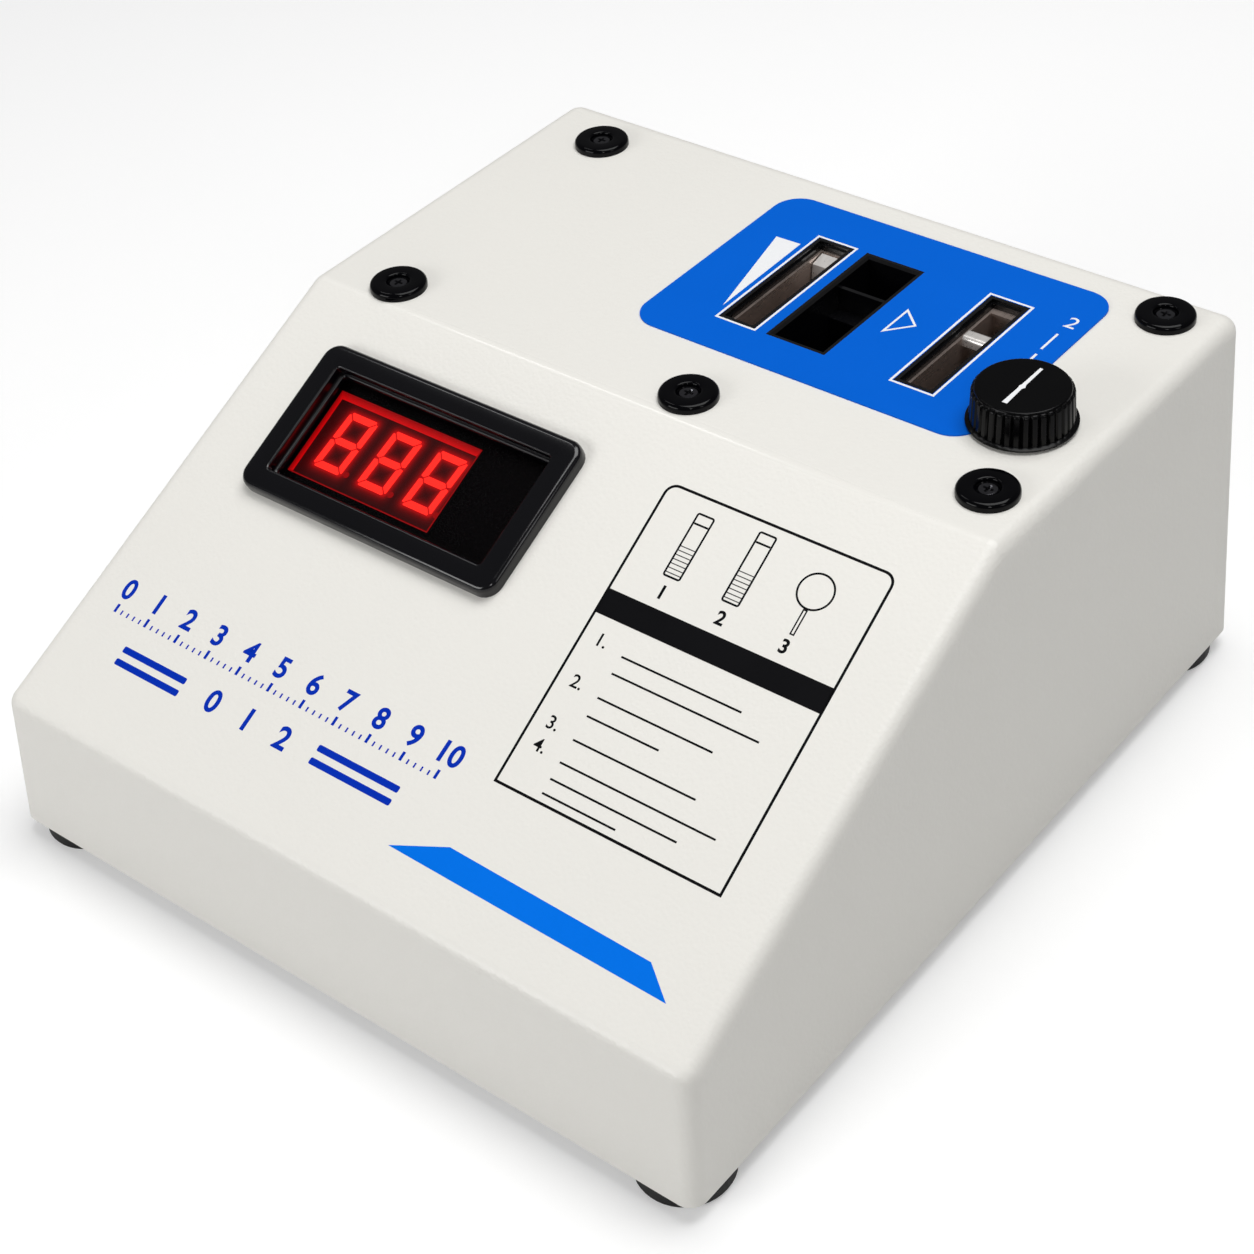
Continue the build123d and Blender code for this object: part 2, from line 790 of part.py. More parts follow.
# ---------------------------------------------------------------- filter knob and shaft
knob_plane = Plane.XY.offset(knob_bottom)
cap_bottom = knob_height - knob_cap_height
with BuildPart() as filter_knob:
    with BuildSketch(knob_plane.offset(skirt_height)):
        with Locations((knob_x, knob_y)):
            Circle(knob_radius)
            with PolarLocations(knob_radius + flute_radius / 3, flute_count):
                Circle(flute_radius, mode=Mode.SUBTRACT)
    extrude(amount=cap_bottom - skirt_height, taper=knob_taper)
    with BuildSketch(knob_plane):
        with Locations((knob_x, knob_y)):
            Circle(skirt_radius)
    extrude(amount=skirt_height)
    with BuildSketch(knob_plane.offset(cap_bottom)):
        with Locations((knob_x, knob_y)):
            Circle(knob_cap_radius)
    extrude(amount=knob_cap_height)
    chamfer(filter_knob.faces().sort_by(Axis.Z)[-1].edges(), knob_cap_height / 3)
    with BuildSketch(knob_plane):
        with Locations((knob_x, knob_y)):
            Circle(knob_hollow_radius)
    extrude(amount=knob_hollow_depth, mode=Mode.SUBTRACT)
    with BuildSketch(knob_plane):
        with Locations((knob_x, knob_y)):
            Circle(shaft_radius)
    extrude(amount=knob_height - 2 * knob_cap_height, mode=Mode.SUBTRACT)
    # The set screw's hole runs in from the back
    with BuildSketch(upright(knob_y)):
        with Locations((knob_x, knob_bottom + (knob_hollow_depth + cap_bottom) / 2)):
            Circle(set_screw_radius)
    extrude(amount=-skirt_radius, mode=Mode.SUBTRACT)
save(filter_knob, "filter_knob")

with BuildPart() as knob_set_screw:
    with BuildSketch(upright(knob_y + shaft_radius)):
        with Locations((knob_x, knob_bottom + (knob_hollow_depth + cap_bottom) / 2)):
            Circle(set_screw_radius)
    extrude(amount=-set_screw_length)
save(knob_set_screw, "knob_set_screw")

shaft_bottom = gear_bottom - shaft_tip
shaft_top = knob_bottom + knob_height - 2 * knob_cap_height
with BuildPart() as filter_shaft:
    with BuildSketch(Plane.XY.offset(shaft_bottom)):
        with Locations((knob_x, knob_y)):
            Circle(shaft_radius)
    extrude(amount=shaft_top - shaft_bottom)
save(filter_shaft, "filter_shaft")

bushing_bottom = deck_bottom - bushing_flange
bushing_top = top + bushing_rise
with BuildPart() as shaft_bushing:
    with BuildSketch(Plane.XY.offset(bushing_bottom)):
        with Locations((knob_x, knob_y)):
            Circle(bushing_flange_radius)
    extrude(amount=bushing_flange)
    with BuildSketch(Plane.XY.offset(deck_bottom)):
        with Locations((knob_x, knob_y)):
            Circle(bushing_radius)
    extrude(amount=bushing_top - deck_bottom)
    with BuildSketch(Plane.XY.offset(bushing_bottom)):
        with Locations((knob_x, knob_y)):
            Circle(shaft_radius + running_gap)
    extrude(amount=bushing_top - bushing_bottom, mode=Mode.SUBTRACT)
save(shaft_bushing, "shaft_bushing")

nut_seat = top + lock_washer_height
with BuildPart() as bushing_nut:
    with BuildSketch(Plane.XY.offset(top)):
        with Locations((knob_x, knob_y)):
            Circle(lock_washer_radius)
    extrude(amount=lock_washer_height)
    with BuildSketch(Plane.XY.offset(nut_seat)):
        with Locations((knob_x, knob_y)):
            RegularPolygon(bushing_nut_flats / 2, 6, major_radius=False)
    extrude(amount=bushing_nut_height)
    with BuildSketch(Plane.XY.offset(top)):
        with Locations((knob_x, knob_y)):
            Circle(bushing_radius)
    extrude(amount=lock_washer_height + bushing_nut_height, mode=Mode.SUBTRACT)
save(bushing_nut, "bushing_nut")

# ---------------------------------------------------------------- pinion, rack and detent
base_radius = pitch_radius * math.cos(math.radians(pressure_angle))
root_radius = pitch_radius - dedendum
tip_radius = pitch_radius + addendum
tooth_half = gear_module * math.pi / 4 - tooth_play / 2


def involute(radius):
    """The involute function at a radius of the pinion, in radians."""
    angle = math.acos(min(1, base_radius / radius))
    return math.tan(angle) - angle


def flank_point(radius, side):
    """A point of the tooth's flank, for a tooth that points along X."""
    turn = tooth_half / pitch_radius + involute(pitch_radius) - involute(radius)
    return (radius * math.cos(turn), side * radius * math.sin(turn))


with BuildSketch() as tooth:
    with BuildLine():
        for side in (-1, 1):
            middle_radius = (base_radius + tip_radius) / 2
            ThreePointArc(
                flank_point(base_radius, side),
                flank_point(middle_radius, side),
                flank_point(tip_radius, side),
            )
        Line(flank_point(tip_radius, -1), flank_point(tip_radius, 1))
        inner_left = (root_radius - tooth_root, flank_point(base_radius, -1)[1])
        inner_right = (root_radius - tooth_root, flank_point(base_radius, 1)[1])
        Polyline(
            flank_point(base_radius, -1), inner_left, inner_right, flank_point(base_radius, 1)
        )
    make_face()

with BuildPart() as filter_pinion:
    with BuildSketch(Plane.XY.offset(gear_bottom)):
        with Locations((knob_x, knob_y)):
            Circle(root_radius)
            with PolarLocations(0, pinion_teeth, start_angle=180 / pinion_teeth):
                add(tooth.sketch)
    extrude(amount=gear_width)
    with BuildSketch(Plane.XY.offset(gear_top)):
        with Locations((knob_x, knob_y)):
            Circle(hub_radius)
    extrude(amount=detent_bottom - gear_top)
    # The notched detent disc is moulded in one piece with the pinion
    with BuildSketch(Plane.XY.offset(detent_bottom)):
        with Locations((knob_x, knob_y)):
            Circle(detent_radius)
            with PolarLocations(detent_radius + notch_radius - notch_depth, 4):
                Circle(notch_radius, mode=Mode.SUBTRACT)
    extrude(amount=detent_thickness)
    with BuildSketch(Plane.XY.offset(gear_bottom)):
        with Locations((knob_x, knob_y)):
            Circle(shaft_radius)
    extrude(amount=detent_bottom + detent_thickness - gear_bottom, mode=Mode.SUBTRACT)
save(filter_pinion, "filter_pinion")

# The leaf stands on edge beside the disc, with a round nose at the notch, and hangs from the deck
nose_x = knob_x + detent_radius + side_gap
leaf_x = nose_x + notch_radius
leaf_low = detent_bottom + detent_thickness / 2 - detent_leaf_height / 2
with BuildPart() as detent_spring:
    with BuildSketch(Plane.XY.offset(leaf_low)):
        with BuildLine():
            Polyline(
                (leaf_x, knob_y - detent_leaf_length),
                (leaf_x, knob_y - notch_radius),
            )
            ThreePointArc(
                (leaf_x, knob_y - notch_radius),
                (nose_x + leaf_thickness / 2, knob_y),
                (leaf_x, knob_y + notch_radius),
            )
            Line((leaf_x, knob_y + notch_radius), (leaf_x, knob_y + 3 * notch_radius))
        trace(line_width=leaf_thickness)
    extrude(amount=detent_leaf_height)
    with BuildSketch(Plane.XY.offset(leaf_low)):
        with Locations((leaf_x, knob_y - detent_leaf_length + detent_tab / 2)):
            Rectangle(leaf_thickness, detent_tab)
    extrude(amount=deck_bottom - leaf_low)
    with BuildSketch(Plane.XY.offset(deck_bottom)):
        with Locations((leaf_x - detent_tab / 2, knob_y - detent_leaf_length + detent_tab / 2)):
            Rectangle(detent_tab + leaf_thickness, detent_tab)
    extrude(amount=-leaf_thickness)
save(detent_spring, "detent_spring")

slide_bottom = beam_height - filter_radius - slide_foot
slide_front = beam_y - filter_pitch - slide_margin
slide_rear = beam_y + filter_pitch + slide_margin
rack_half = (rack_teeth - 1) / 2 * gear_module * math.pi + gear_module * math.pi / 2
rack_front = knob_y - rack_half
flank_slope = math.tan(math.radians(pressure_angle))
with BuildPart() as filter_slide:
    with BuildSketch(side_plane(slide_left)):
        with BuildLine():
            Polyline(
                (slide_front, slide_bottom),
                (slide_rear, slide_bottom),
                (slide_rear, gear_top),
                (rack_front, gear_top),
                (rack_front, gear_bottom - rack_step),
                (slide_front, gear_bottom - rack_step),
                close=True,
            )
        make_face()
    extrude(amount=slide_thickness)
    with BuildSketch(side_plane(slide_right)):
        with Locations((beam_y, beam_height)):
            with GridLocations(filter_pitch, 0, 3, 1):
                Circle(filter_radius - filter_seat)
    extrude(amount=-slide_thickness, mode=Mode.SUBTRACT)
    with BuildSketch(side_plane(slide_right)):
        with Locations((beam_y, beam_height)):
            with GridLocations(filter_pitch, 0, 3, 1):
                Circle(filter_radius + seat_gap)
    extrude(amount=-(filter_thickness + filter_seat), mode=Mode.SUBTRACT)
    with BuildSketch(Plane.XY.offset(gear_bottom)):
        for step in range(rack_teeth):
            tooth_y = knob_y + (step - (rack_teeth - 1) / 2) * gear_module * math.pi
            root_half = tooth_half + dedendum * flank_slope
            tip_half = tooth_half - addendum * flank_slope
            with BuildLine():
                Polyline(
                    (slide_right, tooth_y - root_half),
                    (rack_pitch_x + addendum, tooth_y - tip_half),
                    (rack_pitch_x + addendum, tooth_y + tip_half),
                    (slide_right, tooth_y + root_half),
                    (slide_right - tooth_root, tooth_y + root_half),
                    (slide_right - tooth_root, tooth_y - root_half),
                    close=True,
                )
            make_face()
    extrude(amount=gear_width)
save(filter_slide, "filter_slide")

glass_right = slide_right - filter_seat
for number, offset_y in ((1, -filter_pitch), (2, 0), (3, filter_pitch)):
    with BuildPart() as filter_glass:
        with BuildSketch(side_plane(glass_right)):
            with Locations((beam_y + offset_y, beam_height)):
                Circle(filter_radius)
        extrude(amount=-filter_thickness)
    save(filter_glass, f"filter_glass_{number}")

# ---------------------------------------------------------------- slide guide, lens and lamp
guide_floor = slide_bottom - side_gap - guide_lip
lip_right = slide_right + side_gap + guide_lip
with BuildPart() as slide_guide:
    with BuildSketch(upright(beam_y + guide_length / 2)):
        with BuildLine():
            Polyline(
                (guide_left, guide_floor),
                (lip_right, guide_floor),
                (lip_right, slide_bottom + slide_foot),
                (slide_right + side_gap, slide_bottom + slide_foot),
                (slide_right + side_gap, slide_bottom - side_gap),
                (guide_right, slide_bottom - side_gap),
                (guide_right, gear_top + side_gap),
                (slide_right, gear_top + side_gap),
                (slide_right, gear_top + side_gap + guide_lip),
                (guide_right, gear_top + side_gap + guide_lip),
                (guide_right, deck_bottom),
                (guide_left - guide_flange / 2, deck_bottom),
                (guide_left - guide_flange / 2, deck_bottom - guide_lip),
                (guide_left, deck_bottom - guide_lip),
                close=True,
            )
        make_face()
    extrude(amount=guide_length)
    with BuildSketch(side_plane(guide_left)):
        with Locations((beam_y, beam_height)):
            Circle(lens_radius)
    extrude(amount=guide_plate, mode=Mode.SUBTRACT)
save(slide_guide, "slide_guide")

right_liner_face = right_slot_x + right_slot_width / 2 - slot_rim
lens_room = guide_left - right_liner_face
with BuildPart() as lens_holder:
    with BuildSketch(side_plane(right_liner_face)):
        with Locations((beam_y, beam_height)):
            Circle(lens_radius + lens_tube_wall)
    extrude(amount=lens_room)
    with BuildSketch(side_plane(right_liner_face)):
        with Locations((beam_y, beam_height)):
            Circle(beam_radius)
    extrude(amount=lens_room, mode=Mode.SUBTRACT)
    with BuildSketch(side_plane(guide_left)):
        with Locations((beam_y, beam_height)):
            Circle(lens_radius)
    extrude(amount=-lens_thickness, mode=Mode.SUBTRACT)
save(lens_holder, "lens_holder")

lens_middle_x = guide_left - lens_thickness / 2
lens_rise = (lens_thickness - lens_edge) / 2
lens_curve = (lens_radius**2 + lens_rise**2) / (2 * lens_rise)
half_rise = lens_curve - math.sqrt(lens_curve**2 - (lens_radius / 2) ** 2)
with BuildPart() as condenser_lens:
    with BuildSketch(upright(beam_y)):
        with BuildLine():
            for side in (-1, 1):
                crown_x = lens_middle_x + side * lens_thickness / 2
                edge_x = lens_middle_x + side * lens_edge / 2
                ThreePointArc(
                    (crown_x, beam_height),
                    (crown_x - side * half_rise, beam_height + lens_radius / 2),
                    (edge_x, beam_height + lens_radius),
                )
            Line(
                (lens_middle_x - lens_edge / 2, beam_height + lens_radius),
                (lens_middle_x + lens_edge / 2, beam_height + lens_radius),
            )
            Line(
                (lens_middle_x - lens_thickness / 2, beam_height),
                (lens_middle_x + lens_thickness / 2, beam_height),
            )
        make_face()
    revolve(axis=Axis((lens_middle_x, beam_y, beam_height), (1, 0, 0)))
save(condenser_lens, "condenser_lens")

# The lamp: a round bulb on a straight neck, in its brass base
neck_radius = lamp_base_radius - lamp_neck_step
neck_top = beam_height - math.sqrt(bulb_radius**2 - neck_radius**2)
bulb_bottom = beam_height - bulb_radius - lamp_neck_length
lamp_bottom = bulb_bottom - lamp_base_height
holder_bottom = lamp_bottom - lamp_holder_height / 2
with BuildPart() as lamp:
    with BuildSketch(upright(beam_y)):
        with BuildLine():
            Polyline(
                (lamp_x, beam_height + bulb_radius),
                (lamp_x, lamp_bottom),
                (lamp_x + lamp_base_radius, lamp_bottom),
                (lamp_x + lamp_base_radius, bulb_bottom),
                (lamp_x + neck_radius, bulb_bottom),
                (lamp_x + neck_radius, neck_top),
            )
            ThreePointArc(
                (lamp_x + neck_radius, neck_top),
                (lamp_x + bulb_radius, beam_height),
                (lamp_x, beam_height + bulb_radius),
            )
        make_face()
    revolve(axis=Axis((lamp_x, beam_y, 0), (0, 0, 1)))
save(lamp, "lamp")

with BuildPart() as lamp_holder:
    with BuildSketch(Plane.XY.offset(holder_bottom)):
        with Locations((lamp_x, beam_y)):
            Circle(lamp_holder_radius)
    extrude(amount=lamp_holder_height)
    with BuildSketch(Plane.XY.offset(lamp_bottom)):
        with Locations((lamp_x, beam_y)):
            Circle(lamp_base_radius)
    extrude(amount=lamp_holder_height, mode=Mode.SUBTRACT)
save(lamp_holder, "lamp_holder")

shelf_left = lamp_x - lamp_holder_radius - bracket_margin
with BuildPart() as lamp_bracket:
    with BuildSketch(upright(beam_y + bracket_width / 2)):
        with BuildLine():
            Polyline(
                (shelf_left, holder_bottom - bracket_thickness),
                (bracket_leg_x + bracket_thickness, holder_bottom - bracket_thickness),
                (bracket_leg_x + bracket_thickness, deck_bottom),
                (lamp_x, deck_bottom),
                (lamp_x, deck_bottom - bracket_thickness),
                (bracket_leg_x, deck_bottom - bracket_thickness),
                (bracket_leg_x, holder_bottom),
                (shelf_left, holder_bottom),
                close=True,
            )
        make_face()
    extrude(amount=bracket_width)
save(lamp_bracket, "lamp_bracket")

well_right_face = well_x + well_body_width / 2
well_left_face = well_x - well_body_width / 2
left_liner_right_face = left_slot_x + left_slot_width / 2 - slot_rim
left_liner_left_face = left_slot_x - left_slot_width / 2 + slot_rim
right_liner_left_face = right_slot_x - right_slot_width / 2 + slot_rim
with BuildPart() as light_tubes:
    with BuildSketch(side_plane(well_right_face)):
        with Locations((beam_y, beam_height)):
            Circle(beam_radius + tube_wall)
            Circle(beam_radius, mode=Mode.SUBTRACT)
    extrude(amount=right_liner_left_face - well_right_face)
    with BuildSketch(side_plane(left_liner_right_face)):
        with Locations((beam_y, beam_height)):
            Circle(beam_radius + tube_wall)
            Circle(beam_radius, mode=Mode.SUBTRACT)
    extrude(amount=well_left_face - left_liner_right_face)
save(light_tubes, "light_tubes")

# ---------------------------------------------------------------- photocell
cell_left = left_liner_left_face - cell_block
with BuildPart() as photocell_housing:
    with BuildSketch(side_plane(cell_left)):
        with Locations((beam_y, beam_height)):
            Rectangle(cell_block, cell_block)
    extrude(amount=cell_block)
    with BuildSketch(Plane.XY.offset(beam_height + cell_block / 2)):
        with Locations((cell_left + tube_wall, beam_y)):
            Rectangle(2 * tube_wall, cell_block)
    extrude(amount=deck_bottom - beam_height - cell_block / 2)
    with BuildSketch(side_plane(left_liner_left_face)):
        with Locations((beam_y, beam_height)):
            Circle(beam_radius)
    extrude(amount=-cell_block, mode=Mode.SUBTRACT)
    with BuildSketch(side_plane(cell_left)):
        with Locations((beam_y, beam_height)):
            Circle(cell_radius)
    extrude(amount=cell_block / 2, mode=Mode.SUBTRACT)
save(photocell_housing, "photocell_housing")

with BuildPart() as photocell:
    with BuildSketch(side_plane(cell_left)):
        with Locations((beam_y, beam_height)):
            Circle(cell_radius)
    extrude(amount=cell_thickness)
    # Its small board closes the housing
    with BuildSketch(side_plane(cell_left)):
        with Locations((beam_y, beam_height)):
            Rectangle(cell_block, cell_block)
    extrude(amount=-cell_board_thickness)
save(photocell, "photocell")

# ---------------------------------------------------------------- panel meter
meter_face = slope.offset(bezel_rise)
with BuildPart() as meter_bezel:
    with BuildSketch(slope):
        with Locations((meter_x, meter_s)):
            RectangleRounded(bezel_width, bezel_length, bezel_radius)
    extrude(amount=bezel_rise)
    in_front = meter_face.from_local_coords((meter_x, meter_s, bezel_rise))
    fillet(meter_bezel.faces().sort_by_distance(in_front)[0].outer_wire().edges(), bezel_edge)
    with BuildSketch(slope):
        with Locations((meter_x, meter_s)):
            Rectangle(cutout_width - 2 * side_gap, cutout_length - 2 * side_gap)
    extrude(amount=-sleeve_depth)
    with BuildSketch(meter_face):
        with Locations((meter_x, meter_s)):
            RectangleRounded(window_width, window_length, window_radius)
    extrude(amount=-(bezel_rise + sleeve_depth), mode=Mode.SUBTRACT)
save(meter_bezel, "meter_bezel")

window_plane = slope.offset(-window_drop)
with BuildPart() as meter_window:
    with BuildSketch(window_plane):
        with Locations((meter_x, meter_s)):
            RectangleRounded(window_width - 2 * seat_gap, window_length - 2 * seat_gap, window_radius)
    extrude(amount=-window_thickness)
save(meter_window, "meter_window")

digit_face = window_plane.offset(-window_thickness - side_gap)
first_digit_x = meter_x - window_width / 2 + digit_left_gap + digit_width / 2
with BuildPart() as led_digits:
    with BuildSketch(digit_face):
        with Locations((first_digit_x + (digit_count - 1) / 2 * digit_width, meter_s)):
            with GridLocations(digit_width, 0, digit_count, 1):
                Rectangle(digit_width - seat_gap, digit_length)
    extrude(amount=-digit_depth)
save(led_digits, "led_digits")

meter_board_face = digit_face.offset(-digit_depth)
with BuildPart() as meter_board:
    with BuildSketch(meter_board_face):
        with Locations((meter_x, meter_s)):
            Rectangle(
                cutout_width - 2 * (side_gap + case_wall + seat_gap),
                cutout_length - 2 * (side_gap + case_wall + seat_gap),
            )
    extrude(amount=-meter_board_thickness)
save(meter_board, "meter_board")

case_width = cutout_width - 2 * side_gap
case_length = cutout_length - 2 * side_gap
with BuildPart() as meter_case:
    with BuildSketch(slope.offset(-sleeve_depth)):
        with Locations((meter_x, meter_s)):
            Rectangle(case_width, case_length)
            Rectangle(case_width - 2 * case_wall, case_length - 2 * case_wall, mode=Mode.SUBTRACT)
    extrude(amount=-(case_depth - sleeve_depth))
    with BuildSketch(slope.offset(-case_depth)):
        with Locations((meter_x, meter_s)):
            Rectangle(case_width, case_length)
    extrude(amount=case_wall)
    # The terminal block on its rear wall, with a pocket for each wire
    with BuildSketch(slope.offset(-case_depth)):
        with Locations((meter_x, meter_s)):
            Rectangle(terminal_pitch * (terminal_count + 1), terminal_depth)
    extrude(amount=-terminal_rise)
    with BuildSketch(slope.offset(-case_depth - terminal_rise)):
        with Locations((meter_x, meter_s)):
            with GridLocations(terminal_pitch, 0, terminal_count, 1):
                Rectangle(terminal_pitch / 2, terminal_depth / 2)
    extrude(amount=terminal_rise / 2, mode=Mode.SUBTRACT)
save(meter_case, "meter_case")

# Two clips grip the ends of the case and press against the inside of the slope
with BuildPart() as meter_clips:
    with BuildSketch(slope.offset(-wall)):
        with Locations((meter_x, meter_s)):
            with GridLocations(case_width + clip_thickness, 0, 2, 1):
                Rectangle(clip_thickness, clip_width)
    extrude(amount=-clip_length)
    with BuildSketch(slope.offset(-wall)):
        with Locations((meter_x, meter_s)):
            with GridLocations(case_width + 4 * clip_thickness, 0, 2, 1):
                Rectangle(4 * clip_thickness, clip_width)
    extrude(amount=-clip_thickness)
save(meter_clips, "meter_clips")

# ---------------------------------------------------------------- main board
board_hole_x = board_width - 2 * board_hole_inset
board_hole_y = board_length - 2 * board_hole_inset
board_screw = turned(
    [
        (0, standoff_height / 2),
        (set_screw_radius, standoff_height / 2),
        (set_screw_radius, standoff_height + board_thickness),
        (small_head_radius, standoff_height + board_thickness),
        (small_head_radius, standoff_height + board_thickness + small_head_height),
        (0, standoff_height + board_thickness + small_head_height),
    ]
)
under_screw = turned(
    [
        (0, -plate_thickness - small_head_height),
        (small_head_radius, -plate_thickness - small_head_height),
        (small_head_radius, -plate_thickness),
        (set_screw_radius, -plate_thickness),
        (set_screw_radius, standoff_height / 2 - screw_tip),
        (0, standoff_height / 2 - screw_tip),
    ]
)
# Four hexagonal standoffs, each with a screw from above and one from below
with BuildPart() as board_standoffs:
    with BuildSketch(Plane.XY.offset(plate_top)):
        with Locations((board_x, board_y)):
            with GridLocations(board_hole_x, board_hole_y, 2, 2):
                RegularPolygon(standoff_radius, 6)
                Circle(set_screw_radius + seat_gap / 2, mode=Mode.SUBTRACT)
    extrude(amount=standoff_height)
save(board_standoffs, "board_standoffs")

with BuildPart() as board_screws:
    with Locations((board_x, board_y, plate_top)):
        with GridLocations(board_hole_x, board_hole_y, 2, 2):
            add(board_screw)
            add(under_screw)
save(board_screws, "board_screws")

with BuildPart() as main_board:
    with BuildSketch(Plane.XY.offset(board_bottom)):
        with Locations((board_x, board_y)):
            Rectangle(board_width, board_length)
            with GridLocations(board_hole_x, board_hole_y, 2, 2):
                Circle(set_screw_radius, mode=Mode.SUBTRACT)
    extrude(amount=board_thickness)
save(main_board, "main_board")

coil_lift = (core_height - coil_height) / 2
with BuildPart() as transformer:
    with BuildSketch(Plane.XY.offset(board_top)):
        with Locations((transformer_x, transformer_y)):
            Rectangle(core_width, core_thickness)
    extrude(amount=core_height)
    with BuildSketch(Plane.XY.offset(board_top + coil_lift)):
        with Locations((transformer_x, transformer_y)):
            RectangleRounded(coil_width, coil_length, coil_corner)
    extrude(amount=coil_height)
    with BuildSketch(Plane.XY.offset(board_top)):
        with Locations((transformer_x, transformer_y)):
            Rectangle(coil_width + 2 * coil_flange, coil_length)
    extrude(amount=coil_lift)
save(transformer, "transformer")

# Capacitors, circuit chips and connectors, soldered to the board
with BuildPart() as board_components:
    for x, y, radius, height in capacitor_places:
        with BuildSketch(Plane.XY.offset(board_top)):
            with Locations((x, y)):
                Circle(radius)
        extrude(amount=height)
    with BuildSketch(Plane.XY.offset(board_top)):
        with Locations(*chip_places):
            Rectangle(chip_width, chip_length)
    extrude(amount=chip_height)
    with BuildSketch(Plane.XY.offset(board_top)):
        with Locations(meter_connector, sensor_connector, lamp_connector):
            Rectangle(connector_width, connector_length)
    extrude(amount=connector_height)
save(board_components, "board_components")

with BuildPart() as heat_sink:
    with BuildSketch(Plane.XY.offset(board_top)):
        with Locations((sink_x, sink_y)):
            Rectangle(sink_width, sink_fin)
            with GridLocations(sink_width / (sink_fins - 1), 0, sink_fins, 1):
                with Locations((0, sink_depth / 2)):
                    Rectangle(sink_fin, sink_depth)
    extrude(amount=sink_height)
    # The regulator is bolted to the flat side of the sink
    with BuildSketch(Plane.XY.offset(board_top)):
        with Locations((sink_x, sink_y - sink_fin / 2 - regulator_thickness / 2)):
            Rectangle(regulator_width, regulator_thickness)
    extrude(amount=regulator_height)
save(heat_sink, "heat_sink")

# ---------------------------------------------------------------- rear fittings
pocket_face = upright(pocket_y)
pocket_back = upright(pocket_y - wall)
with BuildPart() as mains_inlet:
    with BuildSketch(pocket_face):
        with Locations((inlet_x, pocket_z)):
            RectangleRounded(inlet_flange_width, inlet_flange_height, pocket_radius)
            with GridLocations(inlet_screw_spacing, 0, 2, 1):
                Circle(set_screw_radius, mode=Mode.SUBTRACT)
    extrude(amount=-inlet_flange)
    with BuildSketch(pocket_face):
        with Locations((inlet_x, pocket_z)):
            RectangleRounded(inlet_body_width, inlet_body_height, small_corner)
    extrude(amount=inlet_body_depth)
    with BuildSketch(upright(pocket_y + inlet_flange)):
        with Locations((inlet_x, pocket_z)):
            RectangleRounded(inlet_socket_width, inlet_socket_height, small_corner)
    extrude(amount=inlet_socket_depth, mode=Mode.SUBTRACT)
save(mains_inlet, "mains_inlet")

socket_floor_y = pocket_y + inlet_flange - inlet_socket_depth
with BuildPart() as inlet_contacts:
    with BuildSketch(upright(socket_floor_y)):
        with Locations((inlet_x, pocket_z - contact_height / 2)):
            with GridLocations(contact_spacing, 0, 2, 1):
                Rectangle(contact_width, contact_height)
        with Locations((inlet_x, pocket_z + contact_height)):
            Rectangle(contact_width, contact_height)
    extrude(amount=-contact_length)
save(inlet_contacts, "inlet_contacts")

inlet_screw = turned(
    [
        (0, -inlet_screw_length),
        (set_screw_radius, -inlet_screw_length),
        (set_screw_radius, 0),
        (small_head_radius, 0),
        (small_head_radius, small_head_height),
        (0, small_head_height),
    ],
    direction=(0, 1, 0),
)
with BuildPart() as inlet_screws:
    with Locations(
        (inlet_x - inlet_screw_spacing / 2, pocket_y + inlet_flange, pocket_z),
        (inlet_x + inlet_screw_spacing / 2, pocket_y + inlet_flange, pocket_z),
    ):
        add(inlet_screw)
save(inlet_screws, "inlet_screws")

with BuildPart() as power_switch:
    with BuildSketch(pocket_face):
        with Locations((switch_x, pocket_z)):
            RectangleRounded(switch_bezel_width, switch_bezel_height, small_corner)
    extrude(amount=-switch_bezel)
    with BuildSketch(pocket_face):
        with Locations((switch_x, pocket_z)):
            Rectangle(switch_cutout_width, switch_cutout_height)
    extrude(amount=switch_body_depth)
    with BuildSketch(upright(pocket_y + switch_bezel)):
        with Locations((switch_x, pocket_z)):
            Rectangle(rocker_length + 2 * side_gap, rocker_width + 2 * side_gap)
    extrude(amount=switch_bezel + switch_cavity, mode=Mode.SUBTRACT)
save(power_switch, "power_switch")

# The rocker turns about an upright pin and stands on the side that is switched on
rocker_plane = Plane(
    origin=(switch_x, pocket_y - rocker_pin_depth, pocket_z - rocker_width / 2),
    x_dir=(math.cos(math.radians(rocker_swing)), -math.sin(math.radians(rocker_swing)), 0),
    z_dir=(0, 0, 1),
)
rocker_end = rocker_length / 2 - rocker_end_gap
with BuildPart() as power_rocker:
    with BuildSketch(rocker_plane):
        with BuildLine():
            Polyline(
                (-rocker_end, rocker_rise),
                (-rocker_end, 0),
                (-rocker_end / 2, -rocker_rise),
                (rocker_end / 2, -rocker_rise),
                (rocker_end, 0),
                (rocker_end, rocker_rise),
            )
            ThreePointArc(
                (-rocker_end, rocker_rise),
                (0, rocker_rise - rocker_dip),
                (rocker_end, rocker_rise),
            )
        make_face()
    extrude(amount=rocker_width)
save(power_rocker, "power_rocker")

with BuildPart() as fuse_holder:
    with BuildSketch(pocket_face):
        with Locations((fuse_x, pocket_z)):
            Circle(fuse_flange_radius)
    extrude(amount=-fuse_flange)
    with BuildSketch(pocket_face):
        with Locations((fuse_x, pocket_z)):
            Circle(fuse_radius)
    extrude(amount=fuse_body_depth)
    with BuildSketch(upright(pocket_y + fuse_flange)):
        with Locations((fuse_x, pocket_z)):
            Circle(fuse_cap_radius + running_gap)
    extrude(amount=fuse_body_depth - fuse_floor, mode=Mode.SUBTRACT)
save(fuse_holder, "fuse_holder")

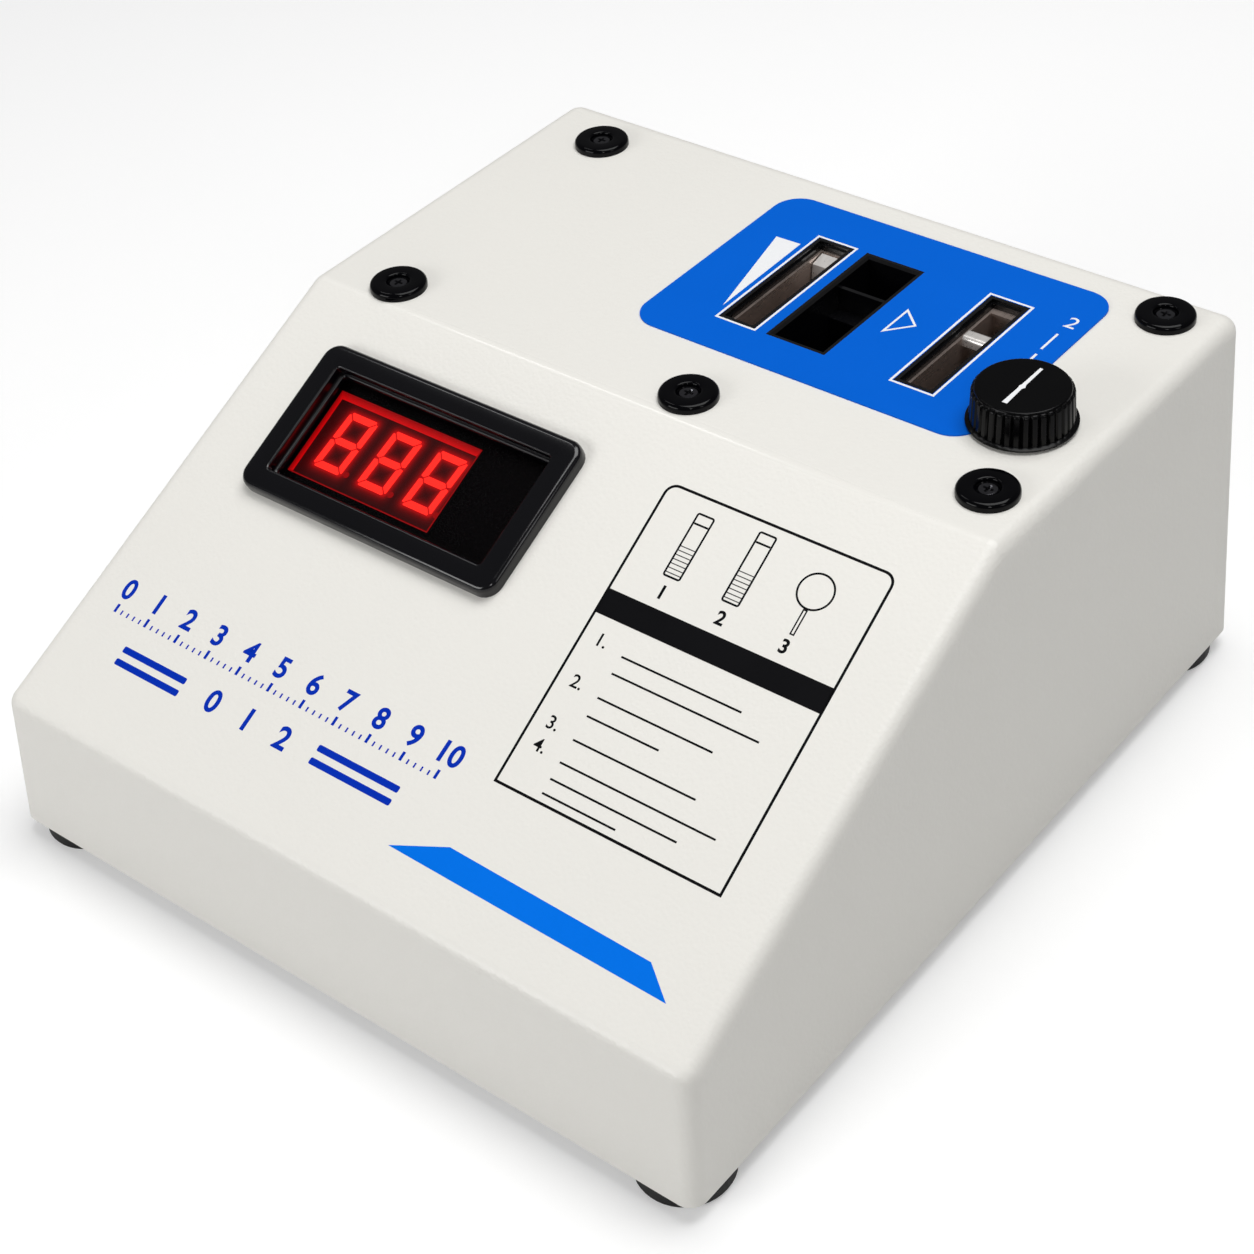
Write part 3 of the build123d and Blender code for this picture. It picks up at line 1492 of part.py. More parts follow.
fuse_mouth = pocket_y + fuse_flange
with BuildPart() as fuse_cap:
    with BuildSketch(upright(fuse_mouth + fuse_cap_rise)):
        with Locations((fuse_x, pocket_z)):
            Circle(fuse_cap_radius)
    extrude(amount=fuse_cap_rise + fuse_cap_depth)
    with BuildSketch(upright(fuse_mouth + fuse_cap_rise)):
        with Locations((fuse_x, pocket_z)):
            Rectangle(2 * fuse_cap_radius - 2 * driver_slot, driver_slot)
    extrude(amount=driver_slot, mode=Mode.SUBTRACT)
    with BuildSketch(upright(fuse_mouth - fuse_cap_depth)):
        with Locations((fuse_x, pocket_z)):
            Circle(fuse_link_radius)
    extrude(amount=-fuse_grip, mode=Mode.SUBTRACT)
save(fuse_cap, "fuse_cap")

with BuildPart() as fuse_link:
    with BuildSketch(upright(fuse_mouth - fuse_cap_depth + fuse_grip)):
        with Locations((fuse_x, pocket_z)):
            Circle(fuse_link_radius)
    extrude(amount=fuse_link_length)
save(fuse_link, "fuse_link")

with BuildPart() as zero_trimmer:
    with BuildSketch(pocket_back):
        with Locations((trimmer_x, pocket_z)):
            Rectangle(trimmer_body, trimmer_body)
    extrude(amount=trimmer_body_depth)
    with BuildSketch(pocket_back):
        with Locations((trimmer_x, pocket_z)):
            Circle(trimmer_bushing_radius)
    extrude(amount=-(wall + trimmer_bushing_rise))
    with BuildSketch(upright(pocket_y + trimmer_bushing_rise)):
        with Locations((trimmer_x, pocket_z)):
            Circle(trimmer_shaft_radius + running_gap)
    extrude(amount=wall + trimmer_bushing_rise + trimmer_bore, mode=Mode.SUBTRACT)
save(zero_trimmer, "zero_trimmer")

trimmer_end = pocket_y + trimmer_bushing_rise + trimmer_shaft_rise
with BuildPart() as trimmer_shaft:
    with BuildSketch(upright(trimmer_end)):
        with Locations((trimmer_x, pocket_z)):
            Circle(trimmer_shaft_radius)
    extrude(amount=trimmer_end - pocket_y + wall + trimmer_bore - side_gap)
    with BuildSketch(upright(trimmer_end)):
        with Locations((trimmer_x, pocket_z)):
            Rectangle(2 * trimmer_shaft_radius, driver_slot)
    extrude(amount=driver_slot, mode=Mode.SUBTRACT)
save(trimmer_shaft, "trimmer_shaft")

# ---------------------------------------------------------------- inner leads
def lead(points):
    """A round lead along straight runs joined by arcs."""
    with BuildPart() as piece:
        with BuildLine() as route:
            FilletPolyline(*points, radius=lead_bend)
        with BuildSketch(Plane(origin=route.line @ 0, z_dir=route.line % 0)):
            Circle(lead_radius)
        sweep(path=route.line)
    return piece.part


connector_top = board_top + connector_height
inlet_back_y = pocket_y - inlet_body_depth
switch_back_y = pocket_y - switch_body_depth
fuse_back_y = pocket_y - fuse_body_depth
cross_y = fuse_back_y - 3 * lead_bend / 2
inlet_tab_x = inlet_x + mains_lead_pitch
switch_tab_x = switch_x - mains_lead_pitch
coil_back_y = transformer_y + coil_length / 2
coil_side_x = transformer_x - mains_lead_pitch
upper_lead_z = pocket_z + mains_lead_pitch
upper_lead_y = inlet_back_y - mains_lead_pitch - 2 * lead_radius
inlet_lead = lead(
    [
        (inlet_tab_x, inlet_back_y, pocket_z),
        (inlet_tab_x, cross_y, pocket_z),
        (fuse_x, cross_y, pocket_z),
        (fuse_x, fuse_back_y, pocket_z),
    ]
)
switch_lead = lead(
    [
        (switch_tab_x, switch_back_y, upper_lead_z),
        (switch_tab_x, upper_lead_y, upper_lead_z),
        (coil_side_x, upper_lead_y, upper_lead_z),
        (coil_side_x, coil_back_y, upper_lead_z),
    ]
)
with BuildPart() as mains_leads:
    add(inlet_lead)
    add(switch_lead)
save(mains_leads, "mains_leads")

terminal_end = slope.from_local_coords((meter_x + 2 * terminal_pitch, meter_s, -case_depth - terminal_rise))
lead_down = (connector_top + lead_bend / 2 - terminal_end.Z) / -slope.z_dir.Z
meter_lead = lead(
    [
        terminal_end,
        terminal_end - slope.z_dir * lead_down,
        (terminal_end.X, (terminal_end - slope.z_dir * lead_down).Y, connector_top),
    ]
)
cell_back_x = cell_left - cell_board_thickness
sensor_lead = lead(
    [
        (cell_back_x, beam_y, beam_height - cell_radius),
        (sensor_connector[0], beam_y, beam_height - cell_radius),
        (sensor_connector[0], sensor_connector[1], connector_top + 2 * lead_bend),
        (sensor_connector[0], sensor_connector[1], connector_top),
    ]
)
lamp_tab_z = holder_bottom + lamp_holder_height / 3
lamp_lead = lead(
    [
        (lamp_x - lamp_holder_radius, beam_y, lamp_tab_z),
        (well_right_face + 4 * lead_bend, beam_y, lamp_tab_z),
        (lamp_connector[0] + 2 * lead_bend, lamp_connector[1], lamp_tab_z - lead_bend),
        (lamp_connector[0], lamp_connector[1], lamp_tab_z - lead_bend),
        (lamp_connector[0], lamp_connector[1], connector_top),
    ]
)
with BuildPart() as signal_leads:
    add(meter_lead)
    add(sensor_lead)
    add(lamp_lead)
save(signal_leads, "signal_leads")
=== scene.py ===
import math

import bmesh
import bpy
from mathutils import Matrix, Vector


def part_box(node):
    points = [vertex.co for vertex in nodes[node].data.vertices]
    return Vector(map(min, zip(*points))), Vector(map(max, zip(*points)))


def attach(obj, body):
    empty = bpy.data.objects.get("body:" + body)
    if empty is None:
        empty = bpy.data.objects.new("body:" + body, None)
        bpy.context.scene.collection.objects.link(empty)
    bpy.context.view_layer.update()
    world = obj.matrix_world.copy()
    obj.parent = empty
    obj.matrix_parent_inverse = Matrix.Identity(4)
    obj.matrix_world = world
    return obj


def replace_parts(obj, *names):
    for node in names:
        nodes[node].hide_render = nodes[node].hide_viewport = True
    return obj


# The looks of a benchtop colorimeter. X to the right, Y to the back, Z up. Shapes are drawn in
# millimetres on the face that carries them, and piece() puts them in place in metres.

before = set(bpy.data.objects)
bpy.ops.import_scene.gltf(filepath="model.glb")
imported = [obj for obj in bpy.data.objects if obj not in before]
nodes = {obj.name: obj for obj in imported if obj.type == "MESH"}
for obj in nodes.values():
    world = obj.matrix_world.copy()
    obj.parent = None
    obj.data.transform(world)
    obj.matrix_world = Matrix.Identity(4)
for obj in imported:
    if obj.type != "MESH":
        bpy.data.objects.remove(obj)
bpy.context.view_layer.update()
mm = 0.001

# ---------------------------------------------------------------- faces that carry print and fittings
front_height = 42.3
front_draft = math.radians(5.0)
crease_setback = 139.0
ink = 0.04  # thickness of a printed layer

shell_low, shell_high = [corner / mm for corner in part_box("shell")]
label_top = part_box("label")[1].z / mm
slope_foot = Vector((0, shell_low.y + front_height * math.tan(front_draft), shell_low.z + front_height))
slope_angle = math.atan2(shell_high.z - slope_foot.z, shell_low.y + crease_setback - slope_foot.y)
slope_face = Matrix.Translation(slope_foot) @ Matrix.Rotation(slope_angle, 4, "X")
top_face = Matrix.Translation((0, 0, shell_high.z))
label_face = Matrix.Translation((0, 0, label_top))

# Places on the top, from the middle of the housing
screw_places = [(-90.0, 16.0), (13.6, 17.0), (102.0, 24.0), (-91.5, 110.5), (100.0, 116.0)]
knob_place = (93.0, 54.5)

# Places on the slope, from its front edge
meter_x = -46.3
meter_y = 108.0


# ---------------------------------------------------------------- helpers for shapes
def piece(name, shape, material, place=Matrix(), body="housing", smooth_angle=35):
    """Turn a finished shape into a piece that rides on a body of the instrument."""
    bmesh.ops.remove_doubles(shape, verts=shape.verts, dist=0.0005)
    bmesh.ops.recalc_face_normals(shape, faces=shape.faces)
    bmesh.ops.transform(shape, matrix=Matrix.Scale(mm, 4) @ place, verts=shape.verts)
    mesh = bpy.data.meshes.new(name)
    shape.to_mesh(mesh)
    shape.free()
    mesh.materials.append(material)
    mesh.shade_smooth()
    mesh.set_sharp_from_angle(angle=math.radians(smooth_angle))
    built = bpy.data.objects.new(name, mesh)
    bpy.context.scene.collection.objects.link(built)
    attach(built, body)
    return built


def printed(name, shapes, material, place, body="housing"):
    """A thin layer of ink on a face."""
    layer = raised(joined(shapes), ink)
    return piece(name, layer, material, place, body)


def joined(shapes):
    """Several shapes as one."""
    whole = bmesh.new()
    for shape in shapes:
        carrier = bpy.data.meshes.new("carrier")
        shape.to_mesh(carrier)
        shape.free()
        whole.from_mesh(carrier)
        bpy.data.meshes.remove(carrier)
    return whole


def moved(shape, x, y, z=0.0):
    """The same shape somewhere else."""
    bmesh.ops.translate(shape, verts=shape.verts, vec=(x, y, z))
    return shape


def raised(shape, height):
    """Give flat faces a thickness upwards."""
    top = bmesh.ops.extrude_face_region(shape, geom=shape.faces[:])
    lifted = [element for element in top["geom"] if isinstance(element, bmesh.types.BMVert)]
    bmesh.ops.translate(shape, verts=lifted, vec=(0, 0, height))
    return shape


def flat(points, line=0.0):
    """A flat face inside these points. With line, only a border of that width inside them."""
    shape = bmesh.new()
    inside = shape.faces.new([shape.verts.new((x, y, 0)) for x, y in points])
    if line:
        shape.normal_update()
        bmesh.ops.inset_individual(shape, faces=[inside], thickness=line, use_even_offset=True)
        bmesh.ops.delete(shape, geom=[inside], context="FACES")
    return shape


def rectangle(x, y, width, length, corner=0.0, corner_steps=6):
    """Points round a rectangle about a middle, with rounded corners."""
    if not corner:
        right, back = x + width / 2, y + length / 2
        left, front = x - width / 2, y - length / 2
        return [(right, back), (left, back), (left, front), (right, front)]
    points = []
    for quarter, (side, end) in enumerate(((1, 1), (-1, 1), (-1, -1), (1, -1))):
        corner_x = x + side * (width / 2 - corner)
        corner_y = y + end * (length / 2 - corner)
        for step in range(corner_steps + 1):
            angle = (quarter + step / corner_steps) * math.pi / 2
            points.append((corner_x + corner * math.cos(angle), corner_y + corner * math.sin(angle)))
    return points


def circle(x, y, radius, steps=48):
    """Points round a circle."""
    turns = [2 * math.pi * step / steps for step in range(steps)]
    return [(x + radius * math.cos(turn), y + radius * math.sin(turn)) for turn in turns]


def lofted(outlines, hollow=False):
    """A skin through outlines of points at a height. It ends flat, or a hollow one meets itself."""
    shape = bmesh.new()
    loops = [[shape.verts.new((x, y, height)) for x, y in points] for points, height in outlines]
    following = loops[1:] + loops[:1] if hollow else loops[1:]
    for lower, upper in zip(loops, following):
        sides = zip(lower, lower[1:] + lower[:1], upper[1:] + upper[:1], upper)
        for corners in sides:
            shape.faces.new(corners)
    if not hollow:
        shape.faces.new(loops[0])
        shape.faces.new(loops[-1])
    return shape


def turned(profile, steps=72):
    """A skin turned about Z from points of radius and height."""
    shape = bmesh.new()
    points = [shape.verts.new((radius, 0, height)) for radius, height in profile]
    edges = [shape.edges.new(pair) for pair in zip(points, points[1:])]
    bmesh.ops.spin(
        shape,
        geom=points + edges,
        axis=(0, 0, 1),
        cent=(0, 0, 0),
        angle=2 * math.pi,
        steps=steps,
        use_merge=True,
    )
    return shape


def rounding(outside, height, radius, steps=5):
    """Insets and heights of a quarter round from an upright wall to a flat top at a height."""
    turns = [math.pi / 2 * step / steps for step in range(steps + 1)]
    return [
        (outside + radius * (1 - math.cos(turn)), height - radius * (1 - math.sin(turn))) for turn in turns
    ]


def number(text, size, x, y, weight=0.0):
    """Plain digits as a flat shape about a middle."""
    words = bpy.data.curves.new("digits", "FONT")
    words.body = text
    words.size = size
    words.align_x = "CENTER"
    words.align_y = "CENTER"
    words.offset = weight
    words.resolution_u = 6
    carrier = bpy.data.objects.new("digits", words)
    mesh = bpy.data.meshes.new_from_object(carrier)
    shape = bmesh.new()
    shape.from_mesh(mesh)
    bpy.data.objects.remove(carrier)
    bpy.data.curves.remove(words)
    bpy.data.meshes.remove(mesh)
    return moved(shape, x, y)


# ---------------------------------------------------------------- helpers for materials
def screen_colour(red, green, blue):
    """A colour as a screen shows it, from 0 to 255, turned into light."""
    linear = []
    for value in (red, green, blue):
        share = value / 255
        linear.append(share / 12.92 if share <= 0.04045 else ((share + 0.055) / 1.055) ** 2.4)
    return (*linear, 1.0)


def add_node(tree, kind, inputs, **settings):
    """Add a node, with sockets that are linked or set, and its own settings."""
    node = tree.nodes.new(kind)
    for key, value in settings.items():
        setattr(node, key, value)
    for key, value in inputs.items():
        if isinstance(value, bpy.types.NodeSocket):
            tree.links.new(value, node.inputs[key])
        else:
            node.inputs[key].default_value = value
    return node


def new_group(name, inputs, outputs):
    """A shader node group with named inputs and outputs."""
    group = bpy.data.node_groups.new(name, "ShaderNodeTree")
    for socket, kind in inputs:
        group.interface.new_socket(name=socket, in_out="INPUT", socket_type=kind)
    for socket, kind in outputs:
        group.interface.new_socket(name=socket, in_out="OUTPUT", socket_type=kind)
    return group


def make_surface_group():
    """Soft patches of colour and gloss, and a fine grain that may be drawn out along an axis."""
    group = new_group(
        "surface finish",
        [
            ("Colour", "NodeSocketColor"),
            ("Colour change", "NodeSocketFloat"),
            ("Patches", "NodeSocketFloat"),
            ("Roughness", "NodeSocketFloat"),
            ("Roughness change", "NodeSocketFloat"),
            ("Grain", "NodeSocketFloat"),
            ("Stretch", "NodeSocketVector"),
        ],
        [("Colour", "NodeSocketColor"), ("Roughness", "NodeSocketFloat"), ("Height", "NodeSocketFloat")],
    )
    given = add_node(group, "NodeGroupInput", {}).outputs
    place = add_node(group, "ShaderNodeTexCoord", {}).outputs["Object"]
    drawn = add_node(
        group, "ShaderNodeVectorMath", {0: place, 1: given["Stretch"]}, operation="MULTIPLY"
    ).outputs[0]
    patches = add_node(
        group, "ShaderNodeTexNoise", {"Vector": drawn, "Scale": given["Patches"], "Detail": 3.0}
    ).outputs["Fac"]
    grain = add_node(
        group, "ShaderNodeTexNoise", {"Vector": drawn, "Scale": given["Grain"], "Detail": 2.0}
    ).outputs["Fac"]
    uneven = add_node(group, "ShaderNodeMath", {0: patches, 1: 0.5}, operation="SUBTRACT").outputs[0]
    fine = add_node(group, "ShaderNodeMath", {0: grain, 1: 0.5}, operation="SUBTRACT").outputs[0]
    both = add_node(group, "ShaderNodeMath", {0: uneven, 1: fine}, operation="ADD").outputs[0]
    tone = add_node(
        group, "ShaderNodeMath", {0: both, 1: given["Colour change"], 2: 1.0}, operation="MULTIPLY_ADD"
    ).outputs[0]
    colour = add_node(
        group, "ShaderNodeVectorMath", {0: given["Colour"], "Scale": tone}, operation="SCALE"
    ).outputs[0]
    roughness = add_node(
        group,
        "ShaderNodeMath",
        {0: both, 1: given["Roughness change"], 2: given["Roughness"]},
        operation="MULTIPLY_ADD",
        use_clamp=True,
    ).outputs[0]
    add_node(group, "NodeGroupOutput", {"Colour": colour, "Roughness": roughness, "Height": grain})
    return group


def make_pebble_group():
    """A leather-like moulded grain of small rounded pebbles."""
    group = new_group(
        "pebble grain", [("Pebbles", "NodeSocketFloat")], [("Height", "NodeSocketFloat")]
    )
    given = add_node(group, "NodeGroupInput", {}).outputs
    place = add_node(group, "ShaderNodeTexCoord", {}).outputs["Object"]
    bend = add_node(
        group, "ShaderNodeTexNoise", {"Vector": place, "Scale": given["Pebbles"], "Detail": 2.0}
    ).outputs["Color"]
    shift = add_node(
        group, "ShaderNodeVectorMath", {0: bend, "Scale": 0.0009}, operation="SCALE"
    ).outputs[0]
    bent = add_node(group, "ShaderNodeVectorMath", {0: place, 1: shift}, operation="ADD").outputs[0]
    cells = add_node(
        group,
        "ShaderNodeTexVoronoi",
        {"Vector": bent, "Scale": given["Pebbles"], "Smoothness": 0.6},
        feature="SMOOTH_F1",
    ).outputs["Distance"]
    height = add_node(group, "ShaderNodeMath", {0: 1.0, 1: cells}, operation="SUBTRACT").outputs[0]
    add_node(group, "NodeGroupOutput", {"Height": height})
    return group


def make_ridge_group():
    """Fade the grain and the roughness out along the ridge between the slope and the top."""
    group = new_group(
        "smooth ridge",
        [("Roughness", "NodeSocketFloat"), ("Height", "NodeSocketFloat")],
        [("Roughness", "NodeSocketFloat"), ("Height", "NodeSocketFloat")],
    )
    given = add_node(group, "NodeGroupInput", {}).outputs
    place = add_node(group, "ShaderNodeTexCoord", {}).outputs["Object"]
    ridge_y = (shell_low.y + crease_setback) * mm
    ridge_z = shell_high.z * mm
    end_fade = 0.017  # distance along the ridge counts this much, so it fades towards its ends
    smooth_reach = 0.9 * mm
    grained_reach = 2.2 * mm
    polished = 0.12
    from_ridge = add_node(
        group, "ShaderNodeVectorMath", {0: place, 1: (0, ridge_y, ridge_z)}, operation="SUBTRACT"
    ).outputs[0]
    across = add_node(
        group, "ShaderNodeVectorMath", {0: from_ridge, 1: (end_fade, 1, 1)}, operation="MULTIPLY"
    ).outputs[0]
    distance = add_node(
        group, "ShaderNodeVectorMath", {0: across}, operation="LENGTH"
    ).outputs["Value"]
    fade = add_node(
        group,
        "ShaderNodeMapRange",
        {"Value": distance, "From Min": smooth_reach, "From Max": grained_reach},
    ).outputs["Result"]
    rest = add_node(
        group, "ShaderNodeMath", {0: given["Roughness"], 1: polished}, operation="SUBTRACT"
    ).outputs[0]
    roughness = add_node(
        group, "ShaderNodeMath", {0: rest, 1: fade, 2: polished}, operation="MULTIPLY_ADD"
    ).outputs[0]
    height = add_node(
        group, "ShaderNodeMath", {0: given["Height"], 1: fade}, operation="MULTIPLY"
    ).outputs[0]
    add_node(group, "NodeGroupOutput", {"Roughness": roughness, "Height": height})
    return group


surface_group = make_surface_group()
pebble_group = make_pebble_group()
ridge_group = make_ridge_group()


def finish(
    name,
    colour,
    roughness,
    colour_change=0.04,
    patches=60.0,
    roughness_change=0.15,
    grain=1500.0,
    grain_depth=0.002,
    stretch=(1, 1, 1),
    pebbles=0.0,
    pebble_depth=0.0,
    specular=0.5,
    metallic=0.0,
    coat=0.0,
):
    """A material with soft colour patches, uneven gloss and a fine or a pebbled grain. Depths are in mm."""
    material = bpy.data.materials.new(name)
    material.use_nodes = True
    tree = material.node_tree
    shader = tree.nodes["Principled BSDF"]
    surface = add_node(
        tree,
        "ShaderNodeGroup",
        {
            "Colour": colour,
            "Colour change": colour_change,
            "Patches": patches,
            "Roughness": roughness,
            "Roughness change": roughness_change,
            "Grain": grain,
            "Stretch": stretch,
        },
        node_tree=surface_group,
    )
    tree.links.new(surface.outputs["Colour"], shader.inputs["Base Color"])
    tree.links.new(surface.outputs["Roughness"], shader.inputs["Roughness"])
    normal = add_node(
        tree,
        "ShaderNodeBump",
        {"Height": surface.outputs["Height"], "Distance": grain_depth * mm, "Strength": 1.0},
    )
    if pebbles:
        pebbled = add_node(tree, "ShaderNodeGroup", {"Pebbles": pebbles}, node_tree=pebble_group)
        normal = add_node(
            tree,
            "ShaderNodeBump",
            {
                "Height": pebbled.outputs["Height"],
                "Distance": pebble_depth * mm,
                "Strength": 1.0,
                "Normal": normal.outputs[0],
            },
        )
    tree.links.new(normal.outputs[0], shader.inputs["Normal"])
    shader.inputs["Specular IOR Level"].default_value = specular
    shader.inputs["Metallic"].default_value = metallic
    shader.inputs["Coat Weight"].default_value = coat
    return material


def clear(name, colour, roughness=0.02, index=1.5):
    """Glass or clear plastic, with faint unevenness."""
    material = finish(name, colour, roughness, colour_change=0.02, roughness_change=0.02)
    shader = material.node_tree.nodes["Principled BSDF"]
    shader.inputs["Transmission Weight"].default_value = 1.0
    shader.inputs["IOR"].default_value = index
    return material


def glowing(name, dark, bright):
    """A lamp face, or a face lit by one, that glows between two colours by the glow value of its mesh; on
    faces lit by the bars the glow is painted light.
    """
    material = finish(name, dark, 0.4, colour_change=0.2, specular=0.2)
    tree = material.node_tree
    shader = tree.nodes["Principled BSDF"]
    glow = add_node(tree, "ShaderNodeAttribute", {}, attribute_name="glow")
    light = add_node(
        tree, "ShaderNodeMixRGB", {"Fac": glow.outputs["Fac"], "Color1": dark, "Color2": bright}
    )
    tree.links.new(light.outputs["Color"], shader.inputs["Emission Color"])
    shader.inputs["Emission Strength"].default_value = 1.0
    return material


def set_glow(built, glow_at):
    """Give each point of a piece its glow, from its place on the slope in millimetres."""
    values = built.data.attributes.new("glow", "FLOAT", "POINT")
    back = (Matrix.Scale(mm, 4) @ slope_face).inverted()
    for vertex, value in zip(built.data.vertices, values.data):
        value.value = glow_at(back @ vertex.co)


# ---------------------------------------------------------------- materials
housing_cream = finish(
    "housing_cream",
    screen_colour(238, 236, 230),
    0.38,
    colour_change=0.012,
    patches=25,
    grain=2600,
    grain_depth=0.004,
    pebbles=900,
    pebble_depth=0.075,
    specular=0.4,
)

# The grain and the roughness of the housing pass through the ridge group
housing_tree = housing_cream.node_tree
housing_shader = housing_tree.nodes["Principled BSDF"]
housing_bump = housing_shader.inputs["Normal"].links[0].from_node
ridge = add_node(
    housing_tree,
    "ShaderNodeGroup",
    {
        "Roughness": housing_shader.inputs["Roughness"].links[0].from_socket,
        "Height": housing_bump.inputs["Height"].links[0].from_socket,
    },
    node_tree=ridge_group,
)
housing_tree.links.new(ridge.outputs["Roughness"], housing_shader.inputs["Roughness"])
housing_tree.links.new(ridge.outputs["Height"], housing_bump.inputs["Height"])

label_blue = finish(
    "label_blue", screen_colour(0, 97, 210), 0.45, colour_change=0.05, patches=45, specular=0.05
)
ink_white = finish("ink_white", screen_colour(243, 244, 246), 0.45, colour_change=0.02)
ink_black = finish("ink_black", screen_colour(10, 10, 13), 0.45, colour_change=0.2, specular=0.08)
ink_dark_blue = finish("ink_dark_blue", screen_colour(4, 48, 178), 0.45, colour_change=0.1, specular=0.05)
ink_bright_blue = finish(
    "ink_bright_blue", screen_colour(0, 114, 232), 0.45, colour_change=0.05, specular=0.05
)
knob_black = finish(
    "knob_black", screen_colour(5, 5, 6), 0.2, colour_change=0.2, grain_depth=0.002, specular=0.14
)
cup_black = finish(
    "cup_black", screen_colour(3, 3, 5), 0.1, colour_change=0.15, grain_depth=0.0006, specular=0.14
)
moulded_black = finish(
    "moulded_black", screen_colour(6, 6, 8), 0.22, colour_change=0.25, grain_depth=0.003, specular=0.5
)
bezel_black = finish(
    "bezel_black",
    screen_colour(3, 3, 7),
    0.15,
    colour_change=0.2,
    roughness_change=0.06,
    grain_depth=0.0012,
    specular=0.5,
)
rubber_black = finish(
    "rubber_black", screen_colour(14, 14, 14), 0.6, colour_change=0.3, grain=900, grain_depth=0.02
)
screw_black = finish(
    "screw_black", screen_colour(80, 80, 84), 0.12, colour_change=0.2, metallic=0.9
)
bright_steel = finish(
    "bright_steel",
    screen_colour(244, 240, 236),
    0.3,
    colour_change=0.08,
    patches=150,
    metallic=0.6,
    stretch=(1, 0.3, 1),
)
liner_metal = finish(
    "liner_metal",
    screen_colour(196, 180, 171),
    0.3,
    colour_change=0.3,
    patches=120,
    metallic=0.8,
    stretch=(1, 0.15, 1),
)
zinc_plate = finish("zinc_plate", screen_colour(176, 176, 172), 0.35, colour_change=0.1, metallic=0.9)
deck_metal = finish(
    "deck_metal",
    screen_colour(190, 190, 186),
    0.4,
    colour_change=0.08,
    metallic=0.9,
    stretch=(0.1, 1, 1),
    grain_depth=0.004,
)
plate_paint = finish(
    "plate_paint", screen_colour(150, 151, 150), 0.5, colour_change=0.05, grain=1200, grain_depth=0.02
)
turned_brass = finish("turned_brass", screen_colour(206, 170, 96), 0.3, colour_change=0.1, metallic=1.0)
gear_white = finish("gear_white", screen_colour(214, 208, 190), 0.45, colour_change=0.04)
board_green = finish("board_green", screen_colour(22, 96, 52), 0.4, colour_change=0.15, patches=200)
component_black = finish("component_black", screen_colour(28, 28, 30), 0.5, colour_change=0.2)
core_grey = finish(
    "core_grey", screen_colour(92, 92, 96), 0.5, colour_change=0.2, stretch=(1, 8, 1), metallic=0.5
)
lead_grey = finish("lead_grey", screen_colour(40, 40, 44), 0.5, colour_change=0.1)
clear_glass = clear("clear_glass", screen_colour(238, 242, 242))
blue_glass = clear("blue_glass", screen_colour(60, 90, 220))
green_glass = clear("green_glass", screen_colour(60, 190, 90))
red_glass = clear("red_glass", screen_colour(220, 60, 50))
display_black = finish(
    "display_black", screen_colour(3, 3, 4), 0.25, colour_change=0.1, specular=0.06, grain_depth=0.0
)
# display_red carries the painted glow on the tray, its face and the unlit dots; segment_red is the light of
# the lit bars.
display_red = glowing("display_red", screen_colour(22, 0, 1), screen_colour(235, 8, 14))
segment_red = glowing("segment_red", screen_colour(255, 40, 32), screen_colour(255, 60, 44))

# The window is so thin and dark that it only dims what is behind it a little
window_smoke = finish(
    "window_smoke",
    screen_colour(8, 2, 3),
    0.05,
    colour_change=0.1,
    roughness_change=0.02,
    grain_depth=0.0001,
)
window_smoke.node_tree.nodes["Principled BSDF"].inputs["Alpha"].default_value = 0.1

node_materials = {
    housing_cream: ["shell"],
    rubber_black: ["rubber_feet"],
    label_blue: ["label"],
    plate_paint: ["base_plate"],
    zinc_plate: [
        "foot_screws",
        "knob_set_screw",
        "filter_shaft",
        "board_standoffs",
        "board_screws",
        "inlet_screws",
        "trimmer_shaft",
    ],
    deck_metal: ["optics_deck", "lamp_bracket", "heat_sink"],
    moulded_black: [
        "slot_panel",
        "left_slot_collar",
        "right_slot_collar",
        "cuvette_well",
        "slide_guide",
        "lens_holder",
        "light_tubes",
        "photocell_housing",
        "meter_case",
        "mains_inlet",
        "power_switch",
        "power_rocker",
        "fuse_holder",
        "fuse_cap",
    ],
    liner_metal: ["left_slot_liner", "right_slot_liner"],
    bright_steel: ["left_slot_spring", "right_slot_bar", "detent_spring", "meter_clips"],
    turned_brass: ["shaft_bushing", "bushing_nut", "inlet_contacts"],
    gear_white: ["filter_pinion", "filter_slide"],
    blue_glass: ["filter_glass_1"],
    green_glass: ["filter_glass_2"],
    red_glass: ["filter_glass_3"],
    clear_glass: ["condenser_lens", "lamp", "fuse_link"],
    window_smoke: ["meter_window"],
    component_black: ["lamp_holder", "board_components", "zero_trimmer"],
    board_green: ["photocell", "main_board"],
    core_grey: ["transformer"],
    lead_grey: ["mains_leads", "signal_leads"],
    display_black: ["led_digits", "meter_board"],
    bezel_black: ["meter_bezel"],
    knob_black: ["filter_knob"],
    cup_black: ["screw_cups"],
    screw_black: ["deck_screws"],
}
for material, names in node_materials.items():
    for name in names:
        nodes[name].data.materials.clear()
        nodes[name].data.materials.append(material)

# ---------------------------------------------------------------- screw cups and screws
cup_radius = 8.3
cup_height = 2.4
cup_floor = 0.8
dish_radius = 3.3
screw_radius = 2.0
head_radius = 2.6
head_height = cup_height - cup_floor
recess_radius = 1.55
recess_width = 0.42
recess_depth = 0.9
nut_radius = 4.0
nut_height = 3.2
nut_top = -5.0  # under the deck, below the top of the housing
screw_hole = screw_radius + 0.2
countersink = screw_radius + 0.9


